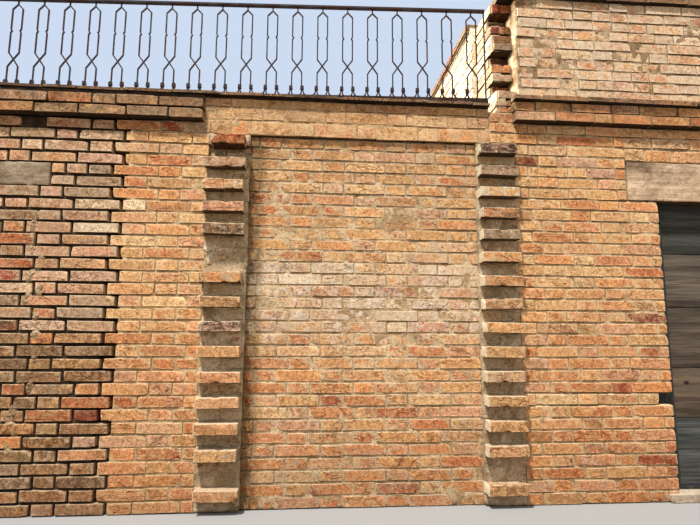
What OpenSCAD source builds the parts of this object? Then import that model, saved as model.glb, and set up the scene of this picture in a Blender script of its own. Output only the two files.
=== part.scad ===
// Old brick garden wall with a low boarded door, toothed brick strips and an iron railing.
// The wall runs along X, its face looks towards -Y, and Z is up. The origin is the middle of
// the underside. Sizes are in millimetres.

/* [Brickwork] */
// Height of one course: a brick and its bed joint
course = 71; // [60:1:80]
// Length of a stretcher
brick_l = 250; // [220:1:260]
// Height of a brick
brick_h = 60; // [45:1:62]
// Thickness of the wall, one and a half bricks and a joint
wall_t = 380; // [380:10:500]

/* [Lengths along the wall] */
// Old wall at the left, from its end to the toothed joint
old_len = 1040; // [780:130:2080]
// Newer wall between the toothed joint and the first strip
second_len = 510; // [380:10:900]
// Panel between the two toothed strips
panel_len = 1420; // [1000:10:2000]
// Wall between the second strip and the doorway
jamb_len = 920; // [800:10:1400]
// Width of the doorway between the brick jambs
door_w = 1050; // [950:10:1200]
// Wall to the right of the doorway
end_len = 780; // [700:10:1400]

/* [Heights in courses] */
// Courses under the projecting band over the panel
panel_courses = 31; // [31:1:31]
// Courses under the left cornice
left_courses = 32; // [32:1:32]
// Courses under the right cornice
right_courses = 33; // [33:1:33]
// Courses beside the doorway, under its lintel
door_courses = 26; // [22:1:26]
// Courses that the lintel takes up
lintel_courses = 4; // [3:1:4]
// Courses of the raised wall
raised_courses = 10; // [6:1:14]

/* [Relief] */
// Depth of the panel behind the wall's face
panel_recess = 30; // [10:5:60]
// How far the strips' bricks stand out
tooth_out = 70; // [60:5:120]
// How far the left cornice stands out
left_cornice_out = 46; // [40:2:80]
// How far the right cornice's lower course stands out
right_lower_out = 50; // [46:2:90]
// How far the right cornice's upper course stands out
right_upper_out = 30; // [24:2:70]
// How far the tiles on the right cornice stand out
right_tile_out = 56; // [40:2:80]
// Thickness of those tiles
right_tile_t = 35; // [25:1:40]

/* [Coping] */
// Mortar bed under the coping slabs, over the left cornice
coping_bed = 30; // [26:1:40]
// How far the frieze's thick courses reach up into that bed
frieze_rise = 24; // [0:1:24]
// Thickness of a coping slab
coping_t = 25; // [20:1:50]
// How far the slabs stand out over the face
coping_out = 30; // [20:1:60]
// Number of slabs
coping_n = 12; // [8:1:16]

/* [Railing] */
// Height of the railing over its mortar bed
rail_h = 632; // [500:1:900]
// Height of the flat top rail
rail_bar_h = 12; // [8:1:16]
// Width of the flat top rail
rail_bar_w = 30; // [20:1:40]
// Thickness of the bent bars
bar = 8; // [6:1:10]
// Distance from loop to loop
loop_pitch = 163.6; // [150:0.1:180]
// Number of loops
loop_n = 20; // [4:1:20]
// Half the width of a loop
loop_half = 32; // [26:1:36]
// Angle between the railing and the wall's face
rail_skew = -2.74; // [-3:0.01:0]

/* [Door] */
// Depth of the door frame behind the wall's face
frame_set = 75; // [60:5:110]
// Width of a frame post
post_w = 137; // [100:1:150]
// Thickness of the frame
frame_t = 60; // [50:1:70]
// Gap around the leaf
leaf_gap = 6; // [5:1:10]
// Thickness of the boards
board_t = 32; // [24:1:40]
// Thickness of the battens behind the boards
batten_t = 30; // [20:1:36]

/* [Hidden] */

// Colours of the materials
old_brick = [0.58, 0.43, 0.31];
gold_brick = [0.80, 0.60, 0.37];
pale_brick = [0.80, 0.65, 0.50];
red_brick = [0.62, 0.33, 0.20];
stone = [0.60, 0.55, 0.46];
mortar = [0.72, 0.63, 0.50];
tile = [0.55, 0.42, 0.32];
iron = [0.19, 0.11, 0.09];
painted_wood = [0.27, 0.31, 0.32];
grey_wood = [0.34, 0.31, 0.28];

// Width of a toothed strip and the tooth of the joint between the two old walls
strip_w = brick_l;
tooth = brick_l / 4;
joint_gap = 12;
joint_depth = 60;

// Stations along the wall
total = old_len + second_len + strip_w + panel_len + strip_w + jamb_len + door_w + end_len;
x_old = -total / 2;
x_joint = x_old + old_len;
x_strip_l = x_joint + second_len;
x_panel = x_strip_l + strip_w;
x_strip_r = x_panel + panel_len;
x_jamb = x_strip_r + strip_w;
x_door = x_jamb + jamb_len;
x_end = x_door + door_w;
x_last = x_end + end_len;

// Planes across the wall
front = -wall_t / 2;
back = wall_t / 2;

// Levels
z_panel = panel_courses * course;
z_left = left_courses * course;
z_band = z_left + 2 * course;
z_right = right_courses * course;
z_tiles = z_right + 2 * course;
z_raised = z_tiles + right_tile_t;
z_top = z_raised + raised_courses * course;
z_lintel = door_courses * course;
z_over = z_lintel + lintel_courses * course;
z_frieze = z_band + frieze_rise;
z_coping = z_band + coping_bed;
z_bed = z_coping + coping_t;

// The left cornice stops a little before the strip, and the coping where the broken end begins
x_cornice_end = x_strip_l - 37;
x_coping_end = x_jamb - 155;
x_bed_end = x_coping_end - 4;
x_broken = x_jamb - 130;

// A flat shape drawn in X and Z, made as deep as the wall between two planes
module across(y_low, y_high) {
    translate([0, y_high, 0])
        rotate([90, 0, 0])
            linear_extrude(y_high - y_low)
                children();
}

// A box from one corner to the other
module block(low, high) {
    translate(low)
        cube(high - low);
}

// Left and right wall

// The toothed joint: every other course reaches a quarter of a brick further
function joint_x(n, shift) = x_joint + shift + (n % 2 == 0 ? tooth / 2 : -tooth / 2);
function joint_line(shift) = [
    for (n = [0 : left_courses - 1])
        for (end = [0, 1])
            [joint_x(n, shift), (n + end) * course]
];
function backwards(list) = [for (i = [len(list) - 1 : -1 : 0]) list[i]];

// The grey stone let into the old wall
stone_w = 400;
stone_low = 26 * course - 2;
stone_h = 2 * course;
stone_deep = 120;
stone_to_joint = 367;
x_stone = x_joint - tooth / 2 - stone_to_joint - stone_w;

module old_wall_section() {
    color(old_brick)
        difference() {
            across(front, back)
                polygon(concat([[x_old, z_left], [x_old, 0]], joint_line(0)));
            block([x_stone, front - 1, stone_low], [x_stone + stone_w, front + stone_deep, stone_low + stone_h]);
        }
}

module inset_stone() {
    color(stone)
        block([x_stone, front - 4, stone_low], [x_stone + stone_w, front + stone_deep, stone_low + stone_h]);
}

module second_wall_section() {
    color(gold_brick)
        difference() {
            across(front, back)
                polygon(concat([[x_strip_l, 0], [x_strip_l, z_left]], backwards(joint_line(0))));
            across(front - 1, front + joint_depth)
                polygon(concat(joint_line(-1), backwards(joint_line(joint_gap))));
        }
}

// Toothed strips

// The rubble hole under the broken brick
hole_course = 29;
hole_deep = 70;
// Courses, counted from the ground, whose brick stands out
strip_courses = [for (n = [30 : -2 : 4]) n];
foot_course = 1;
missing_course = 20;
broken_course = 30;

module left_strip_pier() {
    color(mortar)
        difference() {
            block([x_strip_l, front, 0], [x_panel, back, z_panel]);
            block([x_strip_l + 15, front - 1, hole_course * course],
                [x_panel - 20, front + hole_deep, (hole_course + 1) * course]);
        }
}

// Hand-made bricks differ by a few millimetres
function uneven(n, amount) = amount * sin(n * 137);

// Something between a low and a high amount, another for each brick
function between(low, high, n) = low + (high - low) * (0.5 + uneven(n, 0.5));

// A standing brick: knocked-off corners in plan, and a chipped upper edge as seen from the front
module strip_brick(x, n) {
    w = brick_l - 4;
    d = tooth_out - uneven(n + 3, 6);
    h = brick_h + uneven(n + 7, 2);
    left = between(3, 15, n + 1);
    right = between(3, 19, n + 5);
    dip = between(60, 150, n + 2);
    translate([x + 2 + uneven(n, 2), front - d, n * course + 4])
        intersection() {
            linear_extrude(h)
                polygon([[0, d], [0, left], [left * 0.7, 1], [dip, between(0, 4, n + 6)],
                    [w - right, 0], [w, right * 0.8], [w, d]]);
            across(-1, d + 1)
                polygon([[0, 0], [w, between(0, 4, n + 8)], [w, h - between(2, 9, n + 4)],
                    [w - between(8, 30, n + 9), h], [dip + 22, h], [dip, h - between(1, 5, n)],
                    [left + 10, h], [0, h - between(1, 8, n + 3)]]);
        }
}

module left_strip_bricks() {
    color(gold_brick)
        for (n = strip_courses)
            if (n != missing_course && n != broken_course)
                strip_brick(x_strip_l, n);
    color(gold_brick)
        strip_brick(x_strip_l, foot_course);
    // What is left of the top brick is a red wedge
    color(red_brick)
        across(front - tooth_out + 10, front)
            translate([x_strip_l, broken_course * course + 6])
                polygon([[20, 0], [brick_l - 3, 0], [brick_l - 2, 52], [95, 56], [52, 26]]);
}

module right_strip_pier() {
    color(mortar)
        block([x_strip_r, front, 0], [x_jamb, back, z_panel]);
}

module right_strip_bricks() {
    color(gold_brick) {
        for (n = strip_courses)
            strip_brick(x_strip_r, n);
        strip_brick(x_strip_r, foot_course);
    }
}

module centre_panel() {
    color(gold_brick)
        block([x_panel, front + panel_recess, 0], [x_strip_r, back, z_panel]);
}

module frieze_band() {
    color(gold_brick)
        across(front, back)
            polygon([
                [x_strip_l, z_panel], [x_jamb, z_panel], [x_jamb, z_band], [x_bed_end, z_band],
                [x_bed_end, z_frieze], [x_cornice_end, z_frieze], [x_cornice_end, z_left], [x_strip_l, z_left]
            ]);
}

// Doorway

// Bearing of the lintel, and the rebate behind the outer bricks that takes the frame
bearing = 175;
rebate = 45;
y_frame = front + frame_set;
// The half brick that fell out of the jamb
gone_course = 8;
gone_w = 62;

// The wall at one side of the doorway, drawn for the left side with the opening at x = 0
module door_side(length) {
    difference() {
        across(front, back)
            polygon([
                [-length, 0], [0, 0], [0, z_lintel], [-bearing, z_lintel], [-bearing, z_right], [-length, z_right]
            ]);
        block([-rebate, y_frame, -1], [1, back + 1, z_lintel]);
    }
}

module jamb_wall_section() {
    color(gold_brick)
        difference() {
            translate([x_door, 0, 0])
                door_side(jamb_len);
            block([x_door - gone_w, front - 1, gone_course * course + 3],
                [x_door + 1, y_frame, (gone_course + 1) * course]);
        }
}

module end_wall_section() {
    color(gold_brick)
        translate([x_end, 0, 0])
            mirror([1, 0, 0])
                door_side(end_len);
}

module wall_over_door() {
    color(gold_brick)
        block([x_door - bearing, front, z_over], [x_end + bearing, back, z_right]);
}

// The lintel's lower left corner is broken off
module door_lintel() {
    color(stone)
        difference() {
            block([x_door - bearing, front - 6, z_lintel], [x_end + bearing, back, z_over]);
            translate([x_door - bearing, 0, z_lintel])
                across(front - 7, front + 65)
                    polygon([[-1, -1], [50, -1], [41, 14], [17, 21], [9, 34], [-1, 40]]);
        }
}

threshold_h = 50;
sill_h = 20;
head_h = 25;

module door_threshold() {
    color(stone) {
        block([x_door, front - 20, 0], [x_end, y_frame, threshold_h]);
        block([x_door - rebate, y_frame, 0], [x_end + rebate, back, threshold_h]);
    }
}

module frame_left_post() {
    color(painted_wood)
        block([x_door - rebate, y_frame, threshold_h], [x_door - rebate + post_w, y_frame + frame_t, z_lintel]);
}

module frame_right_post() {
    color(painted_wood)
        block([x_end + rebate - post_w, y_frame, threshold_h], [x_end + rebate, y_frame + frame_t, z_lintel]);
}

// Clear opening inside the frame
x_clear = x_door - rebate + post_w;
x_clear_end = x_end + rebate - post_w;
z_clear = threshold_h + sill_h;
z_clear_top = z_lintel - head_h;

module frame_head() {
    color(painted_wood)
        block([x_clear, y_frame, z_clear_top], [x_clear_end, y_frame + frame_t, z_lintel]);
}

module frame_sill() {
    color(painted_wood)
        block([x_clear, y_frame, threshold_h], [x_clear_end, y_frame + frame_t, z_clear]);
}

// Leaf: five wide boards, one above the other, on three battens
leaf_low = z_clear + leaf_gap + 2;
leaf_high = z_clear_top - leaf_gap;
y_board = y_frame + 12;
y_batten = y_board + board_t;
y_strap = y_batten + batten_t;
board_gap = 5;
// Levels of the joints between the boards, from the top
board_joints = [leaf_high, 1518, 1169, 783, 476, leaf_low];

module board(k) {
    color(grey_wood)
        block([x_clear + leaf_gap, y_board, board_joints[k] + (k < 5 ? board_gap / 2 : 0)],
            [x_clear_end - leaf_gap, y_batten, board_joints[k - 1] - (k > 1 ? board_gap / 2 : 0)]);
}

module door_board_1() { board(1); }
module door_board_2() { board(2); }
module door_board_3() { board(3); }
module door_board_4() { board(4); }
module door_board_5() { board(5); }

batten_w = 80;
batten_in = 70;

module door_battens() {
    color(grey_wood)
        for (x = [
            x_clear + leaf_gap + batten_in,
            (x_clear + x_clear_end - batten_w) / 2,
            x_clear_end - leaf_gap - batten_in - batten_w
        ])
            block([x, y_batten, leaf_low + 30], [x + batten_w, y_strap, leaf_high - 30]);
}

// Strap hinges hang on upright pins behind the left post
pin_x = x_clear - 6;
pin_y = y_strap + 5;
pin_r = 7;
eye_r = 12;
running = 0.05;
strap_t = 6;
strap_h = 36;
strap_l = 560;
strap_levels = [330, 1560];
shelf_t = 10;
pin_l = 52;

module hinge_pins() {
    color(iron)
        for (z = strap_levels)
            translate([pin_x, pin_y, z]) {
                translate([0, 0, -shelf_t])
                    cylinder(h = shelf_t + pin_l, r = pin_r, $fn = 48);
                translate([-20, y_frame + frame_t - pin_y, -shelf_t])
                    cube([26, pin_y - y_frame - frame_t, shelf_t]);
                translate([-52, y_frame + frame_t - pin_y, -42])
                    cube([58, 5, 42]);
            }
}

module hinge_straps() {
    color(iron)
        for (z = strap_levels)
            translate([pin_x, pin_y, z + 1])
                difference() {
                    union() {
                        cylinder(h = strap_h, r = eye_r, $fn = 48);
                        translate([0, y_strap - pin_y, 0])
                            across(0, strap_t)
                                polygon([[0, 0], [strap_l - 26, 8], [strap_l, strap_h / 2],
                                    [strap_l - 26, strap_h - 8], [0, strap_h]]);
                    }
                    translate([0, 0, -1])
                        cylinder(h = strap_h + 2, r = pin_r + running, $fn = 48);
                }
}

// Cornices and coping

module left_cornice_lower() {
    color(old_brick)
        block([x_old, front - left_cornice_out, z_left], [x_cornice_end, back, z_left + course]);
}

module left_cornice_upper() {
    color(old_brick)
        block([x_old, front - left_cornice_out - 2, z_left + course], [x_cornice_end, back, z_band]);
}

module right_cornice_lower() {
    color(gold_brick)
        block([x_jamb, front - right_lower_out, z_right], [x_last, back, z_right + course]);
}

module right_cornice_upper() {
    color(gold_brick)
        block([x_jamb, front - right_upper_out, z_right + course], [x_last, back, z_tiles]);
}

module right_cornice_tiles() {
    color(tile)
        block([x_jamb, front - right_tile_out, z_tiles], [x_last, back, z_raised]);
}

module coping_bed_mortar() {
    color(mortar)
        block([x_old, front - 10, z_band], [x_cornice_end, back, z_coping]);
    color(mortar)
        block([x_cornice_end, front + 6, z_frieze], [x_bed_end, back, z_coping]);
}

coping_pitch = (x_coping_end - x_old) / coping_n;
function coping_joint(i) = x_old + i * coping_pitch + (i > 0 && i < coping_n ? uneven(i, 45) : 0);

// Slabs of uneven length, their front edges broken back here and there
module coping_slabs() {
    color(tile)
        for (i = [0 : coping_n - 1]) {
            x = coping_joint(i) + 1.5;
            w = coping_joint(i + 1) - 1.5 - x;
            d = coping_out + wall_t + 10;
            chip = between(4, 16, i + 2);
            translate([x, front - coping_out, z_coping])
                linear_extrude(coping_t)
                    polygon([[0, d], [0, chip], [chip, between(0, 3, i)], [w * 0.45, between(0, 7, i + 4)],
                        [w - 14, 0], [w, between(2, 10, i + 7)], [w, d]]);
        }
}

// Railing

// Where the railing's right end stands, and its levels over the coping
rail_x = x_strip_r + 5;
rail_y = front + 20;
bed_h = 28;
bed_w = 70;
z_rail_foot = z_bed + bed_h;
rail_bar_low = rail_h - rail_bar_h;
x_first_loop = -9;
post_from_loop = 86;

module railing_frame() {
    translate([rail_x, rail_y, 0])
        rotate([0, 0, rail_skew])
            children();
}

rail_left = x_first_loop - (loop_n - 1) * loop_pitch - post_from_loop;
rail_right = x_first_loop + post_from_loop;

module railing_bed() {
    color(mortar)
        railing_frame()
            block([rail_left - 12, -bed_w / 2, z_bed], [rail_right + 4, bed_w / 2, z_rail_foot]);
}

module railing_top_rail() {
    color(iron)
        railing_frame()
            translate([0, 0, z_rail_foot])
                block([rail_left - bar / 2, -rail_bar_w / 2, rail_bar_low],
                    [rail_right + bar / 2, rail_bar_w / 2, rail_h]);
}

// A bent bar: a strip of even width along a line of points, mitred at its bends
function unit(v) = v / norm(v);
function left_of(v) = [-v[1], v[0]];
function bend(p, i, w) =
    let (before = i > 0 ? unit(p[i] - p[i - 1]) : unit(p[1] - p[0]))
    let (after = i < len(p) - 1 ? unit(p[i + 1] - p[i]) : before)
    let (mitre = unit(left_of(before) + left_of(after)))
    mitre * (w / 2) / (mitre * left_of(before));
function bar_outline(p, w) = concat(
    [for (i = [0 : len(p) - 1]) p[i] + bend(p, i, w)],
    [for (i = [len(p) - 1 : -1 : 0]) p[i] - bend(p, i, w)]
);

// One side of a loop, as heights over the foot: neck, shoulder, kink, waist and rounded foot
kink = 7;
z_apex = 590;
z_shoulder = 556;
z_kink = 406;
z_waist_high = 256;
z_cross = 212;
z_waist_low = 164;
z_collar = 60;
foot_r = loop_half;
z_foot_arc = bar / 2 + foot_r;
loop_side = concat(
    [
        [0, rail_bar_low], [0, z_apex], [-loop_half, z_shoulder],
        [-loop_half, z_kink + 12], [-loop_half + kink, z_kink], [-loop_half, z_kink - 12],
        [-loop_half, z_waist_high], [0, z_cross], [loop_half, z_waist_low]
    ],
    [for (a = [0 : -15 : -90]) [foot_r * cos(a), z_foot_arc + foot_r * sin(a)]]
);

module loop_shape() {
    union() {
        polygon(bar_outline(loop_side, bar));
        mirror([1, 0])
            polygon(bar_outline(loop_side, bar));
    }
}

module railing_loops() {
    color(iron)
        railing_frame()
            for (i = [0 : loop_n - 1])
                translate([x_first_loop - i * loop_pitch, 0, z_rail_foot])
                    across(-bar / 2, bar / 2)
                        loop_shape();
}

// The hanging bars between the loops: straight ends in the collars, and a round hang between them
connector_half = loop_pitch / 2 - loop_half - bar;
hang_r = 40;
z_straight = z_collar - 13;
connector = concat(
    [[-connector_half, z_collar], [-connector_half, z_straight]],
    [for (a = [180 : 15 : 360])
        [(connector_half - 1) * cos(a), bar / 2 + hang_r + hang_r * sin(a)]],
    [[connector_half, z_straight], [connector_half, z_collar]]
);

module railing_connectors() {
    color(iron)
        railing_frame()
            for (i = [0 : loop_n - 2])
                translate([x_first_loop - (i + 0.5) * loop_pitch, 0, z_rail_foot])
                    across(-bar / 2, bar / 2)
                        polygon(bar_outline(connector, bar));
}

// Tapered collars wrap each hanging bar's end and the loop beside it
collar_t = 3;
module collar(side) {
    difference() {
        across(-bar / 2 - collar_t, bar / 2 + collar_t)
            polygon([[-12, -12], [12, -12], [10, 14], [-10, 14]]);
        block([-bar, -bar / 2, -13], [bar, bar / 2, 0]);
        block([min(0, side * bar), -bar / 2, -1], [max(0, side * bar), bar / 2, 15]);
    }
}

module railing_collars() {
    color(iron)
        railing_frame()
            for (i = [0 : loop_n - 2])
                for (side = [-1, 1])
                    translate([
                        x_first_loop - (i + 0.5) * loop_pitch + side * (loop_pitch / 2 - loop_half - bar / 2),
                        0, z_rail_foot + z_collar
                    ])
                        collar(side);
}

module railing_end_posts() {
    color(iron)
        railing_frame()
            translate([0, 0, z_rail_foot])
                for (x = [rail_left, rail_right])
                    block([x - bar / 2, -bar / 2, 0], [x + bar / 2, bar / 2, rail_bar_low]);
}

// Raised wall over the right half, and the wall that returns from its broken end

cap_h = 55;
cap_out = 25;
return_t = 250;
return_l = 1100;

module raised_wall() {
    color(pale_brick)
        block([x_jamb, front, z_raised], [x_last, back, z_top]);
}

// Broken courses: how far each one's face is broken back behind the wall's front
broken_w = 126;
broken_chip = 34;
broken_first = (z_raised - z_band) / 2;
broken_setbacks = [26, 150, 75, 100, 160, 65, 85, 95, 170, 85];

// One broken course seen from above: its face is uneven, and its left end is chipped
module broken_course_block(setback, z, h, n) {
    translate([x_jamb, front, z])
        linear_extrude(h)
            polygon([
                [0, setback - between(0, 18, n)], [-broken_w * 0.3, setback],
                [-broken_w * 0.62, setback - between(0, 22, n + 1)],
                [between(-broken_w, -broken_w + 18, n + 2), setback - between(0, 10, n + 3)],
                [-broken_w, setback + between(10, broken_chip, n + 4)],
                [-broken_w, wall_t], [0, wall_t]
            ]);
}

module raised_wall_broken_end() {
    color(red_brick) {
        broken_course_block(22, z_band, broken_first, 3);
        broken_course_block(24, z_band + broken_first, broken_first, 6);
        for (i = [0 : raised_courses - 1])
            broken_course_block(broken_setbacks[i], z_raised + i * course, course, i);
    }
}

module raised_wall_cap() {
    color(tile)
        block([x_jamb - 60, front - cap_out, z_top], [x_last + cap_out, back + cap_out, z_top + cap_h]);
}

module return_wall() {
    color(pale_brick)
        block([x_broken, back, 0], [x_broken + return_t, back + return_l, z_top]);
}

module return_wall_cap() {
    color(tile)
        block([x_broken - cap_out, back + cap_out, z_top],
            [x_broken + return_t + cap_out, back + return_l + cap_out, z_top + cap_h]);
}

old_wall_section();
inset_stone();
second_wall_section();
left_strip_pier();
left_strip_bricks();
centre_panel();
frieze_band();
right_strip_pier();
right_strip_bricks();
jamb_wall_section();
wall_over_door();
end_wall_section();
door_lintel();
door_threshold();
frame_left_post();
frame_right_post();
frame_head();
frame_sill();
hinge_pins();
door_board_1();
door_board_2();
door_board_3();
door_board_4();
door_board_5();
door_battens();
hinge_straps();
left_cornice_lower();
left_cornice_upper();
right_cornice_lower();
right_cornice_upper();
right_cornice_tiles();
coping_bed_mortar();
coping_slabs();
railing_bed();
railing_top_rail();
railing_loops();
railing_connectors();
railing_collars();
railing_end_posts();
raised_wall();
raised_wall_broken_end();
raised_wall_cap();
return_wall();
return_wall_cap();
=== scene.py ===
"""An old garden wall, laid brick by brick, with an iron railing and a boarded door."""
import math
import random
from collections import namedtuple

import bmesh
import bpy
import numpy as np
from mathutils import Matrix, Vector


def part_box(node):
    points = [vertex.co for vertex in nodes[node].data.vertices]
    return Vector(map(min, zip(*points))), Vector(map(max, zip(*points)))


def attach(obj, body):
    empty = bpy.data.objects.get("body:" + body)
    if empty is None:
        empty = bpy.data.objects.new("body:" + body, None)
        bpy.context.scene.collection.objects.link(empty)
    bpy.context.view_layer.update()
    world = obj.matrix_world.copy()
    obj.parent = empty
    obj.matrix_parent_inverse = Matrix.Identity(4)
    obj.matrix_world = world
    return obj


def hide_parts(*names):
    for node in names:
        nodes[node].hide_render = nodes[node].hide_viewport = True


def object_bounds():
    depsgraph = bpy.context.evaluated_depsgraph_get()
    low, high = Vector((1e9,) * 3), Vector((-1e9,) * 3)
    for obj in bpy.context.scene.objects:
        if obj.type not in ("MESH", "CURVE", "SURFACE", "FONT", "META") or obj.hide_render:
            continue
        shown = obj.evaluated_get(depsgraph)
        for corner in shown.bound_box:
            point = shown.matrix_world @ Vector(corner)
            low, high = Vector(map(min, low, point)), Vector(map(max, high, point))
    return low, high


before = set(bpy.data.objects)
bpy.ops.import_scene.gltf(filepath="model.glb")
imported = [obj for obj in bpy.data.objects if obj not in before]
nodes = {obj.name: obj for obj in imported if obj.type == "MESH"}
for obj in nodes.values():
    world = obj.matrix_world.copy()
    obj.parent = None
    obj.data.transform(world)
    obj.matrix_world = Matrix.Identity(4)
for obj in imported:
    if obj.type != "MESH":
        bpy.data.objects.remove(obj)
cad_low, cad_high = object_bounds()
bpy.ops.object.select_all(action="DESELECT")

# Camera: where the photograph was taken from, in metres and degrees
CAMERA_PLACE = (-0.935, -3.177, 1.0165)
CAMERA_LENS = 25.714
SENSOR = 36.0
CAMERA_TILT = 7.623
CAMERA_YAW = 4.650
CAMERA_ROLL = 0.307

# Brick sizes in metres
COURSE = 0.071
STRETCHER = 0.250
HEADER = 0.120
THREE_QUARTER = 0.185
QUEEN = 0.055
TILE = 0.270
JOINT = 0.010
BRICK_H = 0.060
BODY = 0.066
BOND = STRETCHER + HEADER + 2 * JOINT
HALF_BOND = BOND / 2
SHORTEST = 0.045
BLOCK_DEPTH = 0.140
BLOCK_SHOWS = 0.120

# Mortar: the size of its faces, fine, medium and coarse, how uneven it is, how far it lies behind the bricks
# on the front and on the back, and how far it starts over the ground and stops short of an outer end
CELL = 0.015
MEDIUM = 0.020
COARSE = 0.030
ROUGH = 0.008
SUNK = 0.005
BACK_SUNK = 0.008
BED_FOOT = 0.004
EDGE = 0.006

# Planes and stations, read from the frame
old_low, old_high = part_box("old_wall_section")
second_low, second_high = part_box("second_wall_section")
panel_low, panel_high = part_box("centre_panel")
jamb_low, jamb_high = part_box("jamb_wall_section")
end_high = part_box("end_wall_section")[1]
lintel_low, lintel_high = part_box("door_lintel")
inset_low, inset_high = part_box("inset_stone")
frieze_low, frieze_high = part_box("frieze_band")
raised_low, raised_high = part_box("raised_wall")
broken_low, broken_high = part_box("raised_wall_broken_end")
return_low, return_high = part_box("return_wall")
threshold_low, threshold_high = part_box("door_threshold")
post_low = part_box("frame_left_post")[0]
FRONT, BACK = jamb_low.y, jamb_high.y
HALF = (BACK - FRONT) / 2
TOOTH = (old_high.x - second_low.x) / 2
JOINT_LINE = (old_high.x + second_low.x) / 2
LEFT, RIGHT = old_low.x, end_high.x
STRIP_LEFT, STRIP_RIGHT = second_high.x, panel_high.x
PANEL_LEFT, JAMB_LEFT = panel_low.x, jamb_low.x
REBATE = 0.045
DOOR_LEFT, DOOR_RIGHT = threshold_low.x + REBATE, threshold_high.x - REBATE


# Colours

def srgb(r, g, b):
    """A colour as it looks on a screen, 0 to 255, in Blender's linear values."""
    linear = [c / 255 / 12.92 if c < 11 else ((c / 255 + 0.055) / 1.055) ** 2.4 for c in (r, g, b)]
    return (*linear, 1.0)


CLAY = {
    "golden": srgb(232, 184, 126), "honey": srgb(220, 170, 116), "straw": srgb(238, 200, 148),
    "orange": srgb(228, 160, 104), "rust": srgb(204, 122, 76), "red": srgb(184, 92, 58),
    "dark_red": srgb(142, 72, 52), "pink": srgb(220, 176, 146), "salmon": srgb(228, 170, 126),
    "pale": srgb(236, 204, 166), "cream": srgb(240, 220, 186), "white": srgb(248, 238, 218),
    "brown": srgb(186, 138, 94), "olive": srgb(182, 150, 106), "grey": srgb(180, 156, 126),
    "dirt": srgb(150, 118, 86), "umber": srgb(108, 80, 58),
}

# A style of brickwork: how often each tone comes, how much mortar and grime lie on the bricks, the joints'
# width, how unevenly the faces stand, and the tone that all its bricks share
Style = namedtuple("Style", "tones smear grime joint proud base")
OLD = Style(
    {"brown": 3, "honey": 4, "pink": 6, "pale": 6, "salmon": 4, "grey": 4, "olive": 3, "dirt": 1,
     "rust": 1},
    smear=0.42, grime=0.22, joint=0.0135, proud=0.004, base="pink")
LOW_OLD = Style(
    {"brown": 7, "honey": 3, "golden": 1, "olive": 4, "dirt": 5, "rust": 2, "grey": 2, "umber": 1},
    smear=0.20, grime=0.62, joint=0.0135, proud=0.004, base="brown")
GOLDEN = Style(
    {"golden": 9, "straw": 6, "orange": 7, "honey": 3, "salmon": 4, "brown": 1, "pink": 2, "rust": 1},
    smear=0.30, grime=0.10, joint=0.0105, proud=0.003, base="golden")
LOW_GOLDEN = Style(
    {"golden": 7, "orange": 9, "honey": 3, "salmon": 4, "rust": 2, "brown": 1, "pink": 2},
    smear=0.28, grime=0.34, joint=0.0105, proud=0.003, base="orange")
UPPER = Style(
    {"honey": 5, "golden": 8, "brown": 2, "rust": 2, "orange": 4, "pink": 3, "straw": 5},
    smear=0.45, grime=0.26, joint=0.0105, proud=0.003, base="golden")
PINK = Style(
    {"salmon": 4, "pale": 6, "pink": 3, "straw": 4, "cream": 3, "orange": 3, "rust": 1},
    smear=0.62, grime=0.30, joint=0.0105, proud=0.003, base="pale")
LOWER = Style(
    {"golden": 6, "orange": 6, "salmon": 5, "straw": 4, "rust": 1, "pink": 2},
    smear=0.38, grime=0.34, joint=0.0105, proud=0.003, base="orange")
PLASTERED = Style(
    {"golden": 2, "honey": 2, "olive": 6, "brown": 2, "grey": 5},
    smear=0.80, grime=0.24, joint=0.007, proud=0.002, base="grey")
PALE = Style(
    {"pale": 5, "pink": 3, "salmon": 6, "golden": 4, "cream": 3, "orange": 4, "straw": 3, "rust": 1},
    smear=0.74, grime=0.04, joint=0.010, proud=0.004, base="pale")
# The return wall's cream brick: pale of its own, and paler still as painted light for the sun on that side
CREAM = Style(
    {"cream": 6, "white": 4, "pale": 5, "straw": 2, "salmon": 2},
    smear=0.50, grime=0.03, joint=0.008, proud=0.003, base="cream")
FRIEZE = Style(
    {"golden": 5, "straw": 3, "salmon": 3, "honey": 6, "orange": 3, "brown": 2},
    smear=0.72, grime=0.14, joint=0.008, proud=0.002, base="honey")
BROKEN = Style(
    {"brown": 3, "rust": 3, "dark_red": 2, "dirt": 2, "grey": 2, "salmon": 2},
    smear=0.45, grime=0.55, joint=0.009, proud=0.006, base="rust")
STRIP = Style(
    {"golden": 5, "honey": 4, "orange": 3, "salmon": 3, "brown": 2, "pink": 1},
    smear=0.40, grime=0.32, joint=0.004, proud=0.005, base="honey")
CORNICE = Style(
    {"honey": 5, "brown": 5, "golden": 3, "orange": 3, "salmon": 3, "grey": 3, "pink": 2, "olive": 2},
    smear=0.25, grime=0.58, joint=0.013, proud=0.004, base="brown")
TILES = Style(
    {"rust": 2, "dark_red": 1, "brown": 4, "dirt": 4, "umber": 2, "grey": 2},
    smear=0.45, grime=0.65, joint=0.006, proud=0.002, base="dirt")
COPING = Style(
    {"dirt": 4, "umber": 6, "brown": 1},
    smear=0.20, grime=0.75, joint=0.006, proud=0.003, base="umber")
# How much of the shared tone an ordinary brick takes, and how far its level and its warmth vary
SHARED = 0.26
LEVEL_SPREAD = 0.08
WARMTH_SPREAD = 0.05
# How much of an upright joint's width each of its two bricks gives up, and how much where joints are wider
JOINT_SHARE = 0.4
OPEN_SHARE = 0.62
WIDE_JOINT = 0.013


# Modelling helpers

def begin_box(low, high):
    """A box from corner to corner, left in edit mode."""
    low, high = Vector(low), Vector(high)
    bpy.ops.mesh.primitive_cube_add(size=1, location=(low + high) / 2)
    shape = bpy.context.object
    shape.scale = high - low
    bpy.ops.object.transform_apply(location=True, rotation=True, scale=True)
    bpy.ops.object.mode_set(mode="EDIT")
    return shape


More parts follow.
